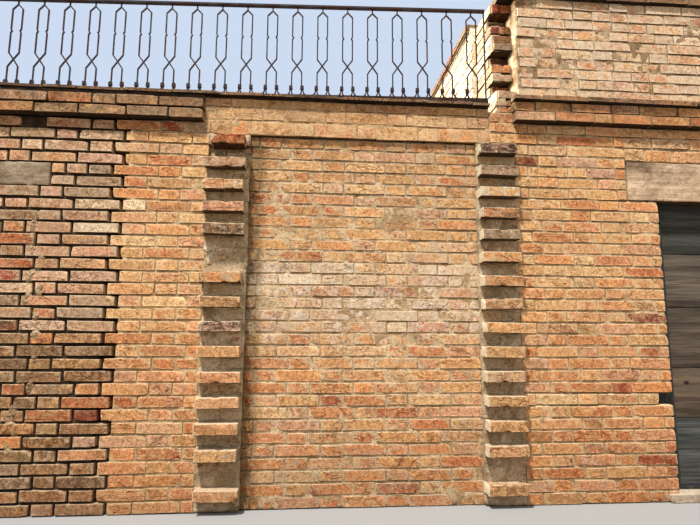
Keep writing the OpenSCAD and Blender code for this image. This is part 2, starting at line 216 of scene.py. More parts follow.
def pick(shape, kind, test):
    """Selects, in edit mode, the verts, edges or faces that pass the test, and nothing else."""
    bpy.ops.mesh.select_all(action="DESELECT")
    bpy.ops.mesh.select_mode(type={"verts": "VERT", "edges": "EDGE", "faces": "FACE"}[kind])
    cage = bmesh.from_edit_mesh(shape.data)
    found = 0
    for part in getattr(cage, kind):
        if test(part):
            part.select_set(True)
            found += 1
    cage.select_flush_mode()
    bmesh.update_edit_mesh(shape.data)
    return found


def cut(point, normal):
    """Cuts the whole shape in edit mode along a plane, without opening it."""
    bpy.ops.mesh.select_all(action="SELECT")
    bpy.ops.mesh.bisect(plane_co=point, plane_no=normal)


def slice_up(low, high, count, uneven, rng, normal=(1, 0, 0)):
    """Cuts the whole shape in edit mode into slices, uneven by a share of their width."""
    for i in range(1, count):
        at = low + (high - low) * (i + rng.uniform(-uneven, uneven)) / count
        cut([at * n for n in normal], normal)


def wear(shape, edges, width, points, uneven, seed, segments=1):
    """Bevels the edges that pass a test, and moves the points that pass another a little."""
    pick(shape, "edges", edges)
    bpy.ops.mesh.bevel(offset=width, segments=segments, affect="EDGES")
    pick(shape, "verts", points)
    bpy.ops.transform.vertex_random(offset=uneven, uniform=0.0, normal=0.0, seed=seed)


def cut_off(point, normal):
    """Takes away what lies beyond a plane, and closes the cut."""
    bpy.ops.mesh.select_all(action="SELECT")
    bpy.ops.mesh.bisect(plane_co=point, plane_no=normal, use_fill=True, clear_outer=True)


def finish_shape(shape, name):
    bpy.ops.object.mode_set(mode="OBJECT")
    shape.name = name
    shape.data.name = name
    bpy.ops.object.select_all(action="DESELECT")
    return shape


def apply_modifier(shape, kind, **settings):
    bpy.context.view_layer.objects.active = shape
    modifier = shape.modifiers.new("shaping", kind)
    for key, value in settings.items():
        setattr(modifier, key, value)
    bpy.ops.object.modifier_apply(modifier=modifier.name)


def apply_displace(shape, name, size, strength, depth=2, group=""):
    """Roughens a finished shape with a procedural cloud pattern."""
    clouds = bpy.data.textures.get(name) or bpy.data.textures.new(name, "CLOUDS")
    clouds.noise_scale = size
    clouds.noise_depth = depth
    apply_modifier(shape, "DISPLACE", texture=clouds, texture_coords="LOCAL", strength=strength,
                   vertex_group=group)


def hold_within(piece, low, high):
    """Moves the points that stand out of a box back onto its sides."""
    points = np.empty(len(piece.data.vertices) * 3)
    piece.data.vertices.foreach_get("co", points)
    points = np.clip(points.reshape(-1, 3), np.array(low), np.array(high))
    piece.data.vertices.foreach_set("co", points.ravel())
    piece.data.update()


def put_on(piece, material, body="wall", replaces=()):
    """Gives a piece its material, keeps it in the model's box, and tells the frame what it is."""
    hold_within(piece, cad_low, cad_high)
    piece.data.materials.clear()
    piece.data.materials.append(material)
    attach(piece, body)
    if replaces:
        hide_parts(*replaces)


def join(name, parts):
    bpy.ops.object.select_all(action="DESELECT")
    for part in parts:
        part.select_set(True)
    bpy.context.view_layer.objects.active = parts[0]
    if len(parts) > 1:
        bpy.ops.object.join()
    joined = bpy.context.object
    joined.name = name
    joined.data.name = name
    bpy.ops.object.select_all(action="DESELECT")
    return joined


# Bricks: a few worn shapes, modelled once

Shape = namedtuple("Shape", "points corners sizes rim length")


def as_shape(piece, length):
    """The arrays of a modelled brick, with how near each point is to the face's edge."""
    mesh = piece.data
    points = np.empty(len(mesh.vertices) * 3)
    mesh.vertices.foreach_get("co", points)
    points = points.reshape(-1, 3)
    corners = np.empty(len(mesh.loops), np.int32)
    mesh.loops.foreach_get("vertex_index", corners)
    sizes = np.empty(len(mesh.polygons), np.int32)
    mesh.polygons.foreach_get("loop_total", sizes)
    to_edge = np.minimum(length / 2 - abs(points[:, 0]), BRICK_H / 2 - abs(points[:, 2]))
    rim = np.clip(1 - to_edge / 0.018, 0, 1)
    bpy.data.objects.remove(piece)
    return Shape(points, corners, sizes, rim, length)


def model_brick(length, columns, seed):
    """A hand-made brick: its face at y = 0 with a worn arris, knocked corners and an uneven surface."""
    rng = random.Random(seed)
    half, half_h = length / 2, BRICK_H / 2
    brick = begin_box((-half, 0, -half_h), (half, BODY, half_h))
    slice_up(-half, half, columns, 0.25, rng)
    cut((0, 0, rng.uniform(-0.008, 0.008)), (0, 0, 1))

    def along_arris(edge):
        a, b = (v.co for v in edge.verts)
        at_side = abs(abs(a.x) - half) < 1e-5 and abs(a.x - b.x) < 1e-5
        at_bed = abs(abs(a.z) - half_h) < 1e-5 and abs(a.z - b.z) < 1e-5
        return a.y < 1e-5 and b.y < 1e-5 and (at_side or at_bed)

    wear(brick, along_arris, 0.0020, lambda v: v.co.y < BODY / 2, 0.0014, seed)
    for _ in range(rng.choice((0, 0, 1, 1, 2))):
        corner = Vector((half * rng.choice((-1, 1)), 0, half_h * rng.choice((-1, 1))))
        reach = rng.uniform(0.010, 0.024)
        if pick(brick, "verts", lambda v: v.co.y < BODY / 2 and (v.co - corner).length < reach):
            bpy.ops.transform.translate(value=(-corner.x * 0.03, rng.uniform(0.003, 0.008), -corner.z * 0.1))
    return as_shape(finish_shape(brick, "brick"), length)


def model_block(seed, wedge=False):
    """A brick that stands out of the wall: worn on every edge that shows, and chipped."""
    rng = random.Random(seed)
    half, half_h = STRETCHER / 2, BRICK_H / 2
    block = begin_box((-half, 0, -half_h), (half, BLOCK_DEPTH, half_h))
    if wedge:
        cut_off((-half + 0.002, 0, -half_h + 0.014), (-0.80, 0, 1))
    slice_up(-half, half, 9, 0.3, rng)
    for y in (0.025, 0.055, 0.085):
        cut((0, y + rng.uniform(-0.006, 0.006), 0), (0, 1, 0))
    cut((0, 0, rng.uniform(-0.006, 0.006)), (0, 0, 1))
    wear(block, lambda e: e.calc_face_angle(0) > 0.5 and min(v.co.y for v in e.verts) < BLOCK_SHOWS, 0.003,
         lambda v: v.co.y < BLOCK_SHOWS, 0.0022, seed)
    for _ in range(rng.choice((1, 2, 3))):
        spot = Vector((rng.uniform(-half, half), rng.uniform(0, 0.04), half_h * rng.choice((-1, -1, 1))))
        if rng.random() < 0.5:
            spot.x = half * rng.choice((-1, 1))
        reach = rng.uniform(0.014, 0.030)
        if pick(block, "verts", lambda v: (v.co - spot).length < reach and v.co.y < 0.1):
            bpy.ops.transform.translate(value=(-spot.x * 0.04, rng.uniform(0.004, 0.012), -spot.z * 0.3))
    return as_shape(finish_shape(block, "block"), STRETCHER)


STRETCHERS = [model_brick(STRETCHER, 6, seed) for seed in range(7)]
HEADERS = [model_brick(HEADER, 3, seed) for seed in range(20, 25)]
BLOCKS = [model_block(seed) for seed in range(40, 45)]
WEDGE = [model_block(50, wedge=True)]

# A side of the wall: which way it faces, and how far its plane lies along the way in
Side = namedtuple("Side", "along inward plane")


def side_at(turn, plane):
    """A side facing -Y when turn is 0, +X at 90, +Y at 180 and -X at 270, through a plane's coordinate."""
    angle = math.radians(turn)
    along = Vector((round(math.cos(angle)), round(math.sin(angle)), 0))
    inward = Vector((-round(math.sin(angle)), round(math.cos(angle)), 0))
    return Side(along, inward, plane * (inward.x + inward.y))


FRONT_SIDE = side_at(0, FRONT)
BACK_SIDE = side_at(180, BACK)

LENGTHS = {"S": STRETCHER, "H": HEADER, "Q": QUEEN, "T": THREE_QUARTER, "P": TILE}


def bond_edges(length, letters):
    """How far the joints lie from one end: the letters' bricks, then headers and stretchers in turn."""
    edges = [0.0]
    while edges[-1] < length:
        for letter in letters:
            edges.append(edges[-1] + LENGTHS[letter] + JOINT)
        letters = "HS" if letters[-1] == "S" else "SH"
    return edges


Laid = namedtuple("Laid", "shape side u0 u1 z0 z1 tone second seed smear grime depth proud flip tilt")


def blend(color, other, part):
    return tuple((1 - part) * a + part * b for a, b in zip(color, other))


def shade(tone, rng):
    """A tone of clay, a little lighter or darker and warmer or cooler."""
    level = 1 + rng.uniform(-LEVEL_SPREAD, LEVEL_SPREAD)
    warm = 1 + rng.uniform(-WARMTH_SPREAD, WARMTH_SPREAD)
    r, g, b, _ = CLAY[tone]
    return (min(1, r * level * warm), min(1, g * level), min(1, b * level / warm))


class Masonry:
    """Bricks laid on the sides of one piece of wall, and the mortar between them."""

    def __init__(self, name, seed, accents=()):
        self.name = name
        self.rng = random.Random(seed)
        self.laid = []
        self.beds = []
        self.accents = accents

    def tone_for(self, style):
        names = list(style.tones)
        return self.rng.choices(names, [style.tones[t] for t in names])[0]

    def brick(self, side, u0, u1, z0, n, style, depth=BODY, height=None, out=0.0, tone=None, other=None,
              shapes=None):
        rng = self.rng
        height = height or COURSE - style.joint
        shapes = shapes or (STRETCHERS if u1 - u0 > 0.17 else HEADERS)
        plain = self.tone_for(style)
        chosen = plain
        for course, u, accent in self.accents:
            if course == n and u0 <= u < u1:
                chosen = accent
        standout = tone or chosen != plain
        chosen = tone or chosen
        main, second, shared = shade(chosen, rng), shade(other or self.tone_for(style), rng), CLAY[style.base]
        if not standout:
            main = blend(main, shared, SHARED)
        self.laid.append(Laid(
            rng.choice(shapes), side, u0, u1, z0 + rng.uniform(-0.002, 0.003),
            z0 + height + rng.uniform(-0.004, 0.002), main,
            blend(main, second, 1.0 if other else 0.35 if standout else 0.70), rng.random(),
            min(1, max(0, rng.gauss(style.smear, 0.16))), min(1, max(0, rng.gauss(style.grime, 0.22))), depth,
            out + rng.uniform(-style.proud, style.proud), rng.random() < 0.5 and len(shapes) > 1,
            rng.uniform(-0.014, 0.014)))

    def course(self, side, u0, u1, z, n, style, first="", last="", phase=0.0, depths=(BODY, BODY),
               out=0.0, height=None, wander=0.005, shapes=None):
        """One course from u0 to u1: first or last holds the letters of the bricks it begins or ends with."""
        rng = self.rng
        height = height or COURSE - style.joint
        edges = []
        if first:
            edges = [u0 + e for e in bond_edges(u1 - u0, first)]
        elif last:
            edges = [u1 - e for e in reversed(bond_edges(u1 - u0, last))]
        else:
            at = phase + math.floor((u0 - phase) / BOND) * BOND
            while at < u1:
                edges += [at, at + STRETCHER + JOINT]
                at += BOND
        inner = [e + rng.uniform(-wander, wander) for e in edges if u0 + SHORTEST < e < u1 - SHORTEST]
        cuts = [u0, *inner, u1]
        for a, b in zip(cuts, cuts[1:]):
            gap = style.joint * (OPEN_SHARE if style.joint > WIDE_JOINT else JOINT_SHARE)
            start = a if a == u0 else a + gap
            stop = b if b == u1 else b - gap
            depth = depths[0] if a == u0 else depths[1] if b == u1 else BODY
            self.brick(side, start, stop, z + (COURSE - height) / 2, n, style, depth, height, out,
                       shapes=shapes)

    def bed(self, side, u0, u1, z0, z1, sunk, thick, cell=CELL, rough=ROUGH):
        """Mortar behind the bricks of a side, from u0 to u1 and from z0 to z1."""
        self.beds.append(mortar_slab(side, u0, u1, z0, z1, sunk, thick, cell, rough))

    def front_bed(self, u0, u1, z0, z1, sunk=SUNK, cell=CELL, rough=ROUGH):
        """The mortar of the wall's front, as deep as the middle of the wall."""
        self.bed(FRONT_SIDE, u0, u1, z0, z1, sunk, HALF - sunk, cell, rough)

    def back_bed(self, u0, u1, z0, z1, sunk=BACK_SUNK):
        """The coarser mortar of the wall's back, as deep as the middle of the wall."""
        self.bed(BACK_SIDE, u0, u1, z0, z1, sunk, HALF - sunk, COARSE)

    def back_course(self, u0, u1, z, n):
        """One course of golden brick on the wall's back."""
        self.course(BACK_SIDE, u0, u1, z, n, GOLDEN, phase=HALF_BOND * (n % 2))

    def finish(self, bricks, mortar, replaces):
        """Makes the two pieces, the bricks and what lies between them."""
        put_on(self.mesh(), MATERIALS[bricks], replaces=replaces)
        if self.beds:
            joints = join(self.name.replace("bricks", "joints"), self.beds)
            put_on(joints, MATERIALS[mortar])

    def mesh(self):
        """All bricks as one mesh, each with its tones and marks on its points."""
        points, corners, sizes, tones, seconds, marks = [], [], [], [], [], []
        offset = 0
        for b in self.laid:
            shape = b.shape
            p = shape.points.copy()
            if b.flip:
                p[:, 0] *= -1
                p[:, 2] *= -1
            p[:, 0] *= (b.u1 - b.u0) / shape.length
            p[:, 2] *= (b.z1 - b.z0) / BRICK_H
            p[:, 2] += p[:, 0] * b.tilt
            own_depth = shape.points[:, 1].max()
            p[:, 1] = np.where(p[:, 1] > own_depth - 0.001, b.depth, p[:, 1])
            along = (b.u0 + b.u1) / 2 + p[:, 0]
            inward = b.side.plane - b.proud + p[:, 1]
            world = np.outer(along, b.side.along) + np.outer(inward, b.side.inward)
            world[:, 2] = (b.z0 + b.z1) / 2 + p[:, 2]
            points.append(world)
            corners.append(shape.corners + offset)
            sizes.append(shape.sizes)
            offset += len(p)
            tones.append(np.tile((*b.tone, 1.0), (len(p), 1)))
            seconds.append(np.tile((*b.second, 1.0), (len(p), 1)))
            mark = np.empty((len(p), 4))
            mark[:, 0], mark[:, 1], mark[:, 2], mark[:, 3] = shape.rim, b.seed, b.smear, b.grime
            marks.append(mark)
        return build_mesh(self.name, np.concatenate(points), np.concatenate(corners), np.concatenate(sizes), {
            "tone": np.concatenate(tones), "second": np.concatenate(seconds), "marks": np.concatenate(marks)})


def build_mesh(name, points, corners, sizes, colours):
    mesh = bpy.data.meshes.new(name)
    mesh.vertices.add(len(points))
    mesh.vertices.foreach_set("co", points.ravel())
    mesh.loops.add(len(corners))
    mesh.loops.foreach_set("vertex_index", corners)
    mesh.polygons.add(len(sizes))
    starts = np.concatenate([[0], np.cumsum(sizes)[:-1]]).astype(np.int32)
    mesh.polygons.foreach_set("loop_start", starts)
    mesh.update(calc_edges=True)
    mesh.validate()
    for key, values in colours.items():
        attribute = mesh.attributes.new(key, "FLOAT_COLOR", "POINT")
        attribute.data.foreach_set("color", values.astype(np.float32).ravel())
    mesh.shade_smooth()
    mesh.set_sharp_from_angle(angle=math.radians(26))
    piece = bpy.data.objects.new(name, mesh)
    bpy.context.scene.collection.objects.link(piece)
    return piece


# Mortar: a rough slab behind the bricks' faces

def close_slab(slab, inward, thick):
    """Gives a sheet a back: its border is drawn inward and filled. The sheet is the group called face."""
    face = slab.vertex_groups.new(name="face")
    count = len(slab.data.vertices)
    face.add(range(count), 1.0, "REPLACE")
    bpy.ops.object.mode_set(mode="EDIT")
    bpy.ops.mesh.select_all(action="SELECT")
    bpy.ops.mesh.region_to_loop()
    bpy.ops.mesh.extrude_edges_move(TRANSFORM_OT_translate={"value": inward * thick})
    bpy.ops.mesh.edge_face_add()
    bpy.ops.object.mode_set(mode="OBJECT")
    face.remove(list(range(count, len(slab.data.vertices))))
    for polygon in slab.data.polygons:
        polygon.use_smooth = len(polygon.vertices) == 4


def mortar_slab(side, u0, u1, z0, z1, sunk, thick, cell, rough):
    """A closed slab whose outer face is uneven, sunk behind the side's plane."""
    columns, rows = max(2, round((u1 - u0) / cell)), max(2, round((z1 - z0) / cell))
    bpy.ops.mesh.primitive_grid_add(x_subdivisions=columns, y_subdivisions=rows, size=1)
    slab = bpy.context.object
    turn = math.atan2(side.along.y, side.along.x)
    middle = side.along * ((u0 + u1) / 2) + side.inward * (side.plane + sunk) + Vector((0, 0, (z0 + z1) / 2))
    slab.matrix_world = (Matrix.Translation(middle) @ Matrix.Rotation(turn, 4, "Z")
                         @ Matrix.Rotation(math.pi / 2, 4, "X") @ Matrix.Diagonal((u1 - u0, z1 - z0, 1, 1)))
    bpy.ops.object.transform_apply(location=True, rotation=True, scale=True)
    close_slab(slab, side.inward, thick)
    if rough:
        apply_displace(slab, "mortar lumps", 0.035, rough, 2, "face")
        apply_displace(slab, "mortar waves", 0.30, rough * 1.1, 1, "face")
    return slab


# Shader helpers

def add(tree, kind, inputs=None, **settings):
    """Adds a node, sets its properties, and fills its inputs with values or other nodes' outputs."""
    made = tree.nodes.new(kind)
    for key, value in settings.items():
        setattr(made, key, value)
    for key, value in (inputs or {}).items():
        socket = made.inputs[key]
        if isinstance(value, bpy.types.NodeSocket):
            tree.links.new(value, socket)
        else:
            socket.default_value = value
    return made


def object_place(tree):
    return add(tree, "ShaderNodeTexCoord").outputs["Object"]


def coordinate(tree, vector, axis):
    return add(tree, "ShaderNodeSeparateXYZ", {"Vector": vector}).outputs[axis]


def facing(tree, axis):
    """How far the surface faces along an axis, from -1 to 1."""
    return coordinate(tree, add(tree, "ShaderNodeNewGeometry").outputs["Normal"], axis)


def carried(tree, name):
    """What a mesh carries on its points under a name."""
    return add(tree, "ShaderNodeAttribute", attribute_name=name).outputs


def stretched(tree, vector, scale, turn=(0, 0, 0)):
    """The place, turned and scaled, so that a pattern is drawn out along one way."""
    return add(tree, "ShaderNodeMapping", {"Vector": vector, "Scale": scale, "Rotation": turn}).outputs[0]


def noise(tree, vector, scale, detail=3.0, rough=0.55, distortion=0.0):
    made = add(tree, "ShaderNodeTexNoise", {
        "Vector": vector, "Scale": scale, "Detail": detail, "Roughness": rough, "Distortion": distortion})
    return made.outputs["Fac"]


def stretch(tree, value, low, high, to_low=0.0, to_high=1.0):
    """Maps low..high smoothly to to_low..to_high."""
    made = add(tree, "ShaderNodeMapRange", {
        "Value": value, "From Min": low, "From Max": high, "To Min": to_low, "To Max": to_high},
        interpolation_type="SMOOTHSTEP")
    return made.outputs["Result"]


def math_node(tree, operation, a, b=0.5):
    made = add(tree, "ShaderNodeMath", {0: a, 1: b}, operation=operation)
    return made.outputs[0]


def times(tree, a, b):
    return math_node(tree, "MULTIPLY", a, b)


def plus(tree, a, b):
    return math_node(tree, "ADD", a, b)


def mix(tree, factor, a, b, how="MIX"):
    """Mixes two colours."""
    made = tree.nodes.new("ShaderNodeMix")
    made.data_type = "RGBA"
    made.blend_type = how
    made.clamp_factor = True
    for index, value in ((0, factor), (6, a), (7, b)):
        if isinstance(value, bpy.types.NodeSocket):
            tree.links.new(value, made.inputs[index])
        else:
            made.inputs[index].default_value = value
    return made.outputs[2]


def grey(level):
    return (level, level, level, 1.0)


def tint(tree, factor, color, by):
    """The colour, multiplied by another as far as the factor says."""
    return mix(tree, factor, color, by, "MULTIPLY")


def start_group(name, inputs, outputs):
    """A shader node group with named sockets: {name: (socket type, default)} and {name: socket type}."""
    tree = bpy.data.node_groups.new(name, "ShaderNodeTree")
    for key, (kind, default) in inputs.items():
        socket = tree.interface.new_socket(key, in_out="INPUT", socket_type=kind)
        if default is not None:
            socket.default_value = default
    for key, kind in outputs.items():
        tree.interface.new_socket(key, in_out="OUTPUT", socket_type=kind)
    return tree, tree.nodes.new("NodeGroupInput").outputs, tree.nodes.new("NodeGroupOutput").inputs


def start_material(name, roughness=0.9):
    material = bpy.data.materials.new(name)
    material.use_nodes = True
    shader = material.node_tree.nodes["Principled BSDF"]
    shader.inputs["Roughness"].default_value = roughness
    shader.inputs["Specular IOR Level"].default_value = 0.25
    return material, material.node_tree, shader


def use_group(tree, group, inputs=None):
    made = tree.nodes.new("ShaderNodeGroup")
    made.node_tree = group
    for key, value in (inputs or {}).items():
        if isinstance(value, bpy.types.NodeSocket):
            tree.links.new(value, made.inputs[key])
        else:
            made.inputs[key].default_value = value
    return made.outputs


def coat(tree, shader, color, height, distance):
    """Gives a material its colour and its relief."""
    tree.links.new(color, shader.inputs["Base Color"])
    made = add(tree, "ShaderNodeBump", {"Height": height, "Distance": distance})
    tree.links.new(made.outputs["Normal"], shader.inputs["Normal"])


FLOAT, COLOR = "NodeSocketFloat", "NodeSocketColor"


def clay_group():
    """Fired clay: blotches, grain, pits and folds with painted shade, arrises paler with wear and painted
    highlight, mortar smeared over the edges, dusty ledges with painted light, and grime.
    """
    tree, given, out = start_group("fired clay", {
        "Tone": (COLOR, grey(0.5)), "Second": (COLOR, grey(0.5)), "Marks": (COLOR, grey(0.0)),
        "Mortar": (COLOR, grey(0.5)), "Smear": (FLOAT, 1.0), "Grime": (FLOAT, 1.0), "Salt": (FLOAT, 0.0),
    }, {"Color": COLOR, "Height": FLOAT})
    where = object_place(tree)
    marks = add(tree, "ShaderNodeSeparateColor", {"Color": given["Marks"]}).outputs
    rim, seed, smear = marks[0], marks[1], marks[2]
    own = add(tree, "ShaderNodeCombineXYZ", {
        "X": times(tree, seed, 37.0), "Y": times(tree, seed, 91.0), "Z": times(tree, seed, 53.0)}).outputs[0]
    shifted = add(tree, "ShaderNodeVectorMath", {0: where, 1: own}, operation="ADD").outputs[0]
    broad = noise(tree, stretched(tree, shifted, (14.0, 14.0, 24.0)), 1.0, 4.0, 0.62, 0.6)
    medium = noise(tree, shifted, 55.0, 4.0, 0.70, 0.3)
    fine = noise(tree, shifted, 190.0, 4.0, 0.75)
    color = mix(tree, stretch(tree, broad, 0.42, 0.60), given["Tone"], given["Second"])
    color = tint(tree, stretch(tree, medium, 0.53, 0.32), color, (0.58, 0.48, 0.40, 1))
    color = tint(tree, stretch(tree, medium, 0.51, 0.67), color, (1.26, 1.27, 1.24, 1))
    color = tint(tree, stretch(tree, fine, 0.53, 0.36), color, (0.56, 0.48, 0.42, 1))
    color = tint(tree, stretch(tree, fine, 0.53, 0.66), color, (1.28, 1.29, 1.30, 1))
    # The arrises are paler: partly wear, partly a painted highlight where light catches them
    worn = stretch(tree, plus(tree, rim, times(tree, plus(tree, medium, -0.5), 0.6)), 0.60, 0.86)
    color = tint(tree, worn, color, (1.22, 1.26, 1.30, 1))
    # Folds in the clay run slantwise over about half of the bricks; their hollows are darkened as painted
    # shade
    slant = stretched(tree, shifted, (7.0, 7.0, 20.0), (0, math.radians(24), 0))
    folded = math_node(tree, "ABSOLUTE", plus(tree, noise(tree, slant, 1.0, 1.5, 0.5, 0.2), -0.5))
    fold = times(tree, stretch(tree, folded, 0.016, 0.002), stretch(tree, seed, 0.48, 0.56))
    color = tint(tree, times(tree, fold, 0.75), color, (0.50, 0.36, 0.28, 1))
    # Small pits, sunk in the relief and darkened as painted shade
    pits = add(tree, "ShaderNodeTexVoronoi", {"Vector": shifted, "Scale": 80.0}).outputs["Distance"]
    pit = times(tree, stretch(tree, pits, 0.24, 0.10), stretch(tree, medium, 0.50, 0.60))
    color = tint(tree, times(tree, pit, 0.9), color, (0.36, 0.27, 0.21, 1))
    # Mortar on the edges and in patches over the face
    ragged = plus(tree, rim, times(tree, plus(tree, medium, -0.5), 0.9))
    amount = times(tree, smear, given["Smear"])
    edge = times(tree, stretch(tree, ragged, 0.72, 0.94), stretch(tree, amount, 0.0, 0.40))
    patch_noise = noise(tree, shifted, 13.0, 5.0, 0.70, 0.8)
    patch = stretch(tree, plus(tree, patch_noise, times(tree, amount, 0.36)), 0.72, 0.86)
    cover = math_node(tree, "MAXIMUM", times(tree, edge, 0.85), times(tree, patch, 0.75))
    mortar_shade = tint(tree, stretch(tree, fine, 0.60, 0.38), given["Mortar"], grey(0.58))
    color = mix(tree, cover, color, mortar_shade)
    crumb = noise(tree, shifted, 110.0, 2.0, 0.5)
    color = mix(tree, times(tree, stretch(tree, crumb, 0.62, 0.70), stretch(tree, amount, 0.0, 0.6)), color,
                given["Mortar"])
    # Salt blooms pale; faces that look up are dusty and paler with painted light from above; grime darkens
    bloom = stretch(tree, noise(tree, where, 7.0, 5.0, 0.72, 0.5), 0.46, 0.60)
    bloom = times(tree, bloom, stretch(tree, medium, 0.36, 0.56))
    color = mix(tree, times(tree, bloom, given["Salt"]), color, srgb(234, 220, 202))
    # Faces that look up: dusty, and lighter still as painted light falling from above
    dust_and_painted_light = times(tree, stretch(tree, facing(tree, "Z"), 0.35, 0.85), stretch(tree, medium, 0.38, 0.52))
    color = mix(tree, times(tree, dust_and_painted_light, 0.6), color, srgb(214, 192, 160))
    soot = noise(tree, shifted, 30.0, 6.0, 0.80, 0.4)
    darker_mask = times(tree, given["Grime"], stretch(tree, soot, 0.46, 0.58))
    color = tint(tree, times(tree, darker_mask, 0.9), color, (0.36, 0.32, 0.28, 1))
    height = plus(tree, times(tree, fine, 0.5), medium)
    height = plus(tree, height, times(tree, fold, -0.9))
    height = plus(tree, height, times(tree, pit, -0.7))
    tree.links.new(color, out["Color"])
    tree.links.new(height, out["Height"])
    return tree


def weather_and_shade_group():
    """Runs of dirt from the top, damp at the foot, broad darker patches, and painted shade on faces that look
    down.
    """
    tree, given, out = start_group("weather", {
        "Color": (COLOR, grey(0.5)), "Top": (FLOAT, 2.4), "Reach": (FLOAT, 0.4), "Runs": (FLOAT, 0.5),
        "Foot": (FLOAT, 0.3),
    }, {"Color": COLOR})
    where = object_place(tree)
    level = coordinate(tree, where, "Z")
    streak = noise(tree, stretched(tree, where, (9.0, 9.0, 1.0)), 1.0, 4.0, 0.6)
    under = math_node(tree, "DIVIDE", math_node(tree, "SUBTRACT", given["Top"], level), given["Reach"])
    dirt = times(tree, stretch(tree, under, 1.0, 0.0), stretch(tree, streak, 0.34, 0.62, 0.15, 1.0))
    color = tint(tree, times(tree, dirt, given["Runs"]), given["Color"], (0.42, 0.37, 0.32, 1))
    blotch = noise(tree, stretched(tree, where, (7.0, 7.0, 12.0)), 1.0, 6.0, 0.78, 0.4)
    near_top = stretch(tree, under, 2.2, 0.2)
    blotched = times(tree, times(tree, stretch(tree, blotch, 0.50, 0.60), near_top), given["Runs"])
    color = tint(tree, blotched, color, (0.50, 0.42, 0.35, 1))
    broad = noise(tree, where, 1.7, 3.0, 0.6)
    color = tint(tree, stretch(tree, broad, 0.35, 0.65, 0.25, 0.0), color, (0.74, 0.68, 0.62, 1))
    foot = times(tree, stretch(tree, level, 0.60, 0.0), given["Foot"])
    color = tint(tree, foot, color, (0.62, 0.55, 0.50, 1))
    # Faces that look down are darkened: painted shade under what stands out
    color = tint(tree, stretch(tree, facing(tree, "Z"), -0.45, -0.80), color, (0.12, 0.095, 0.06, 1))
    tree.links.new(color, out["Color"])
    return tree


CLAY_GROUP = clay_group()
WEATHER_AND_SHADE = weather_and_shade_group()
SALT_BAND = (0.80, 1.02, 1.34, 1.52)
SANDY = srgb(238, 206, 158)
PALE_MORTAR = srgb(226, 202, 166)
OLIVE = srgb(178, 148, 108)
DARK_MORTAR = srgb(92, 72, 54)


def darken_beside(tree, color, x):
    """Darkens a narrow upright zone of the front just right of x, in the corner beside a strip."""
    where = object_place(tree)
    right = math_node(tree, "SUBTRACT", coordinate(tree, where, "X"), x)
    ragged = plus(tree, right, times(tree, noise(tree, where, 14.0, 4.0, 0.7), 0.06))
    on_front = stretch(tree, coordinate(tree, where, "Y"), 0.01, -0.01)
    darker_mask = times(tree, stretch(tree, ragged, 0.150, 0.080), on_front)
    return tint(tree, darker_mask, color, (0.50, 0.48, 0.42, 1))


def brick_material(name, mortar, smear=1.0, grime=1.0, salt=0.0, top=2.4, reach=0.4, runs=0.4, foot=0.55,
                   left_lime_and_light=0.0, beside=None):
    """Brick; salt is how strongly it blooms between two heights; its left sides can be made paler, with lime
    and with painted light from the left.
    """
    material, tree, shader = start_material(name)
    if salt:
        level = coordinate(tree, object_place(tree), "Z")
        band = times(tree, stretch(tree, level, *SALT_BAND[:2]), stretch(tree, level, *SALT_BAND[:1:-1]))
        salt = times(tree, band, salt)
    marks = carried(tree, "marks")
    clay = use_group(tree, CLAY_GROUP, {
        "Tone": carried(tree, "tone")["Color"], "Second": carried(tree, "second")["Color"],
        "Marks": marks["Color"], "Mortar": mortar, "Smear": smear,
        "Grime": times(tree, marks["Alpha"], grime), "Salt": salt})
    weathered = use_group(tree, WEATHER_AND_SHADE, {
        "Color": clay["Color"], "Top": top, "Reach": reach, "Runs": runs, "Foot": foot})
    color = weathered["Color"]
    # Left-facing sides paler: lime on them, and painted light as if the lamp fell on them from the left
    if left_lime_and_light:
        rest = noise(tree, object_place(tree), 40.0, 3.0, 0.6)
        lime_and_light_mask = times(tree, stretch(tree, facing(tree, "X"), -0.45, -0.80),
                      stretch(tree, rest, 0.36, 0.50, 0.35, left_lime_and_light))
        color = mix(tree, lime_and_light_mask, color, srgb(250, 238, 206))
    if beside is not None:
        color = darken_beside(tree, color, beside)
    coat(tree, shader, color, clay["Height"], 0.0055)
    return material


def mortar_material(name, color, dark, top=2.4, reach=0.4, runs=0.4, beside=None):
    """Lime mortar: sand grain, small holes, lighter and dirtier patches."""
    material, tree, shader = start_material(name, 0.95)
    where = object_place(tree)
    patch = noise(tree, where, 9.0, 4.0, 0.6, 0.5)
    fine = noise(tree, where, 220.0, 3.0, 0.7)
    medium = noise(tree, where, 60.0, 4.0, 0.6)
    shade_of = mix(tree, stretch(tree, patch, 0.38, 0.64), dark, color)
    shade_of = tint(tree, stretch(tree, fine, 0.60, 0.36), shade_of, grey(0.60))
    shade_of = tint(tree, stretch(tree, medium, 0.46, 0.34), shade_of, (0.55, 0.50, 0.44, 1))
    weathered = use_group(tree, WEATHER_AND_SHADE, {
        "Color": shade_of, "Top": top, "Reach": reach, "Runs": runs, "Foot": 0.3})
    shade_of = weathered["Color"]
    if beside is not None:
        shade_of = darken_beside(tree, shade_of, beside)
    coat(tree, shader, shade_of, plus(tree, times(tree, fine, 0.5), medium), 0.006)
    return material


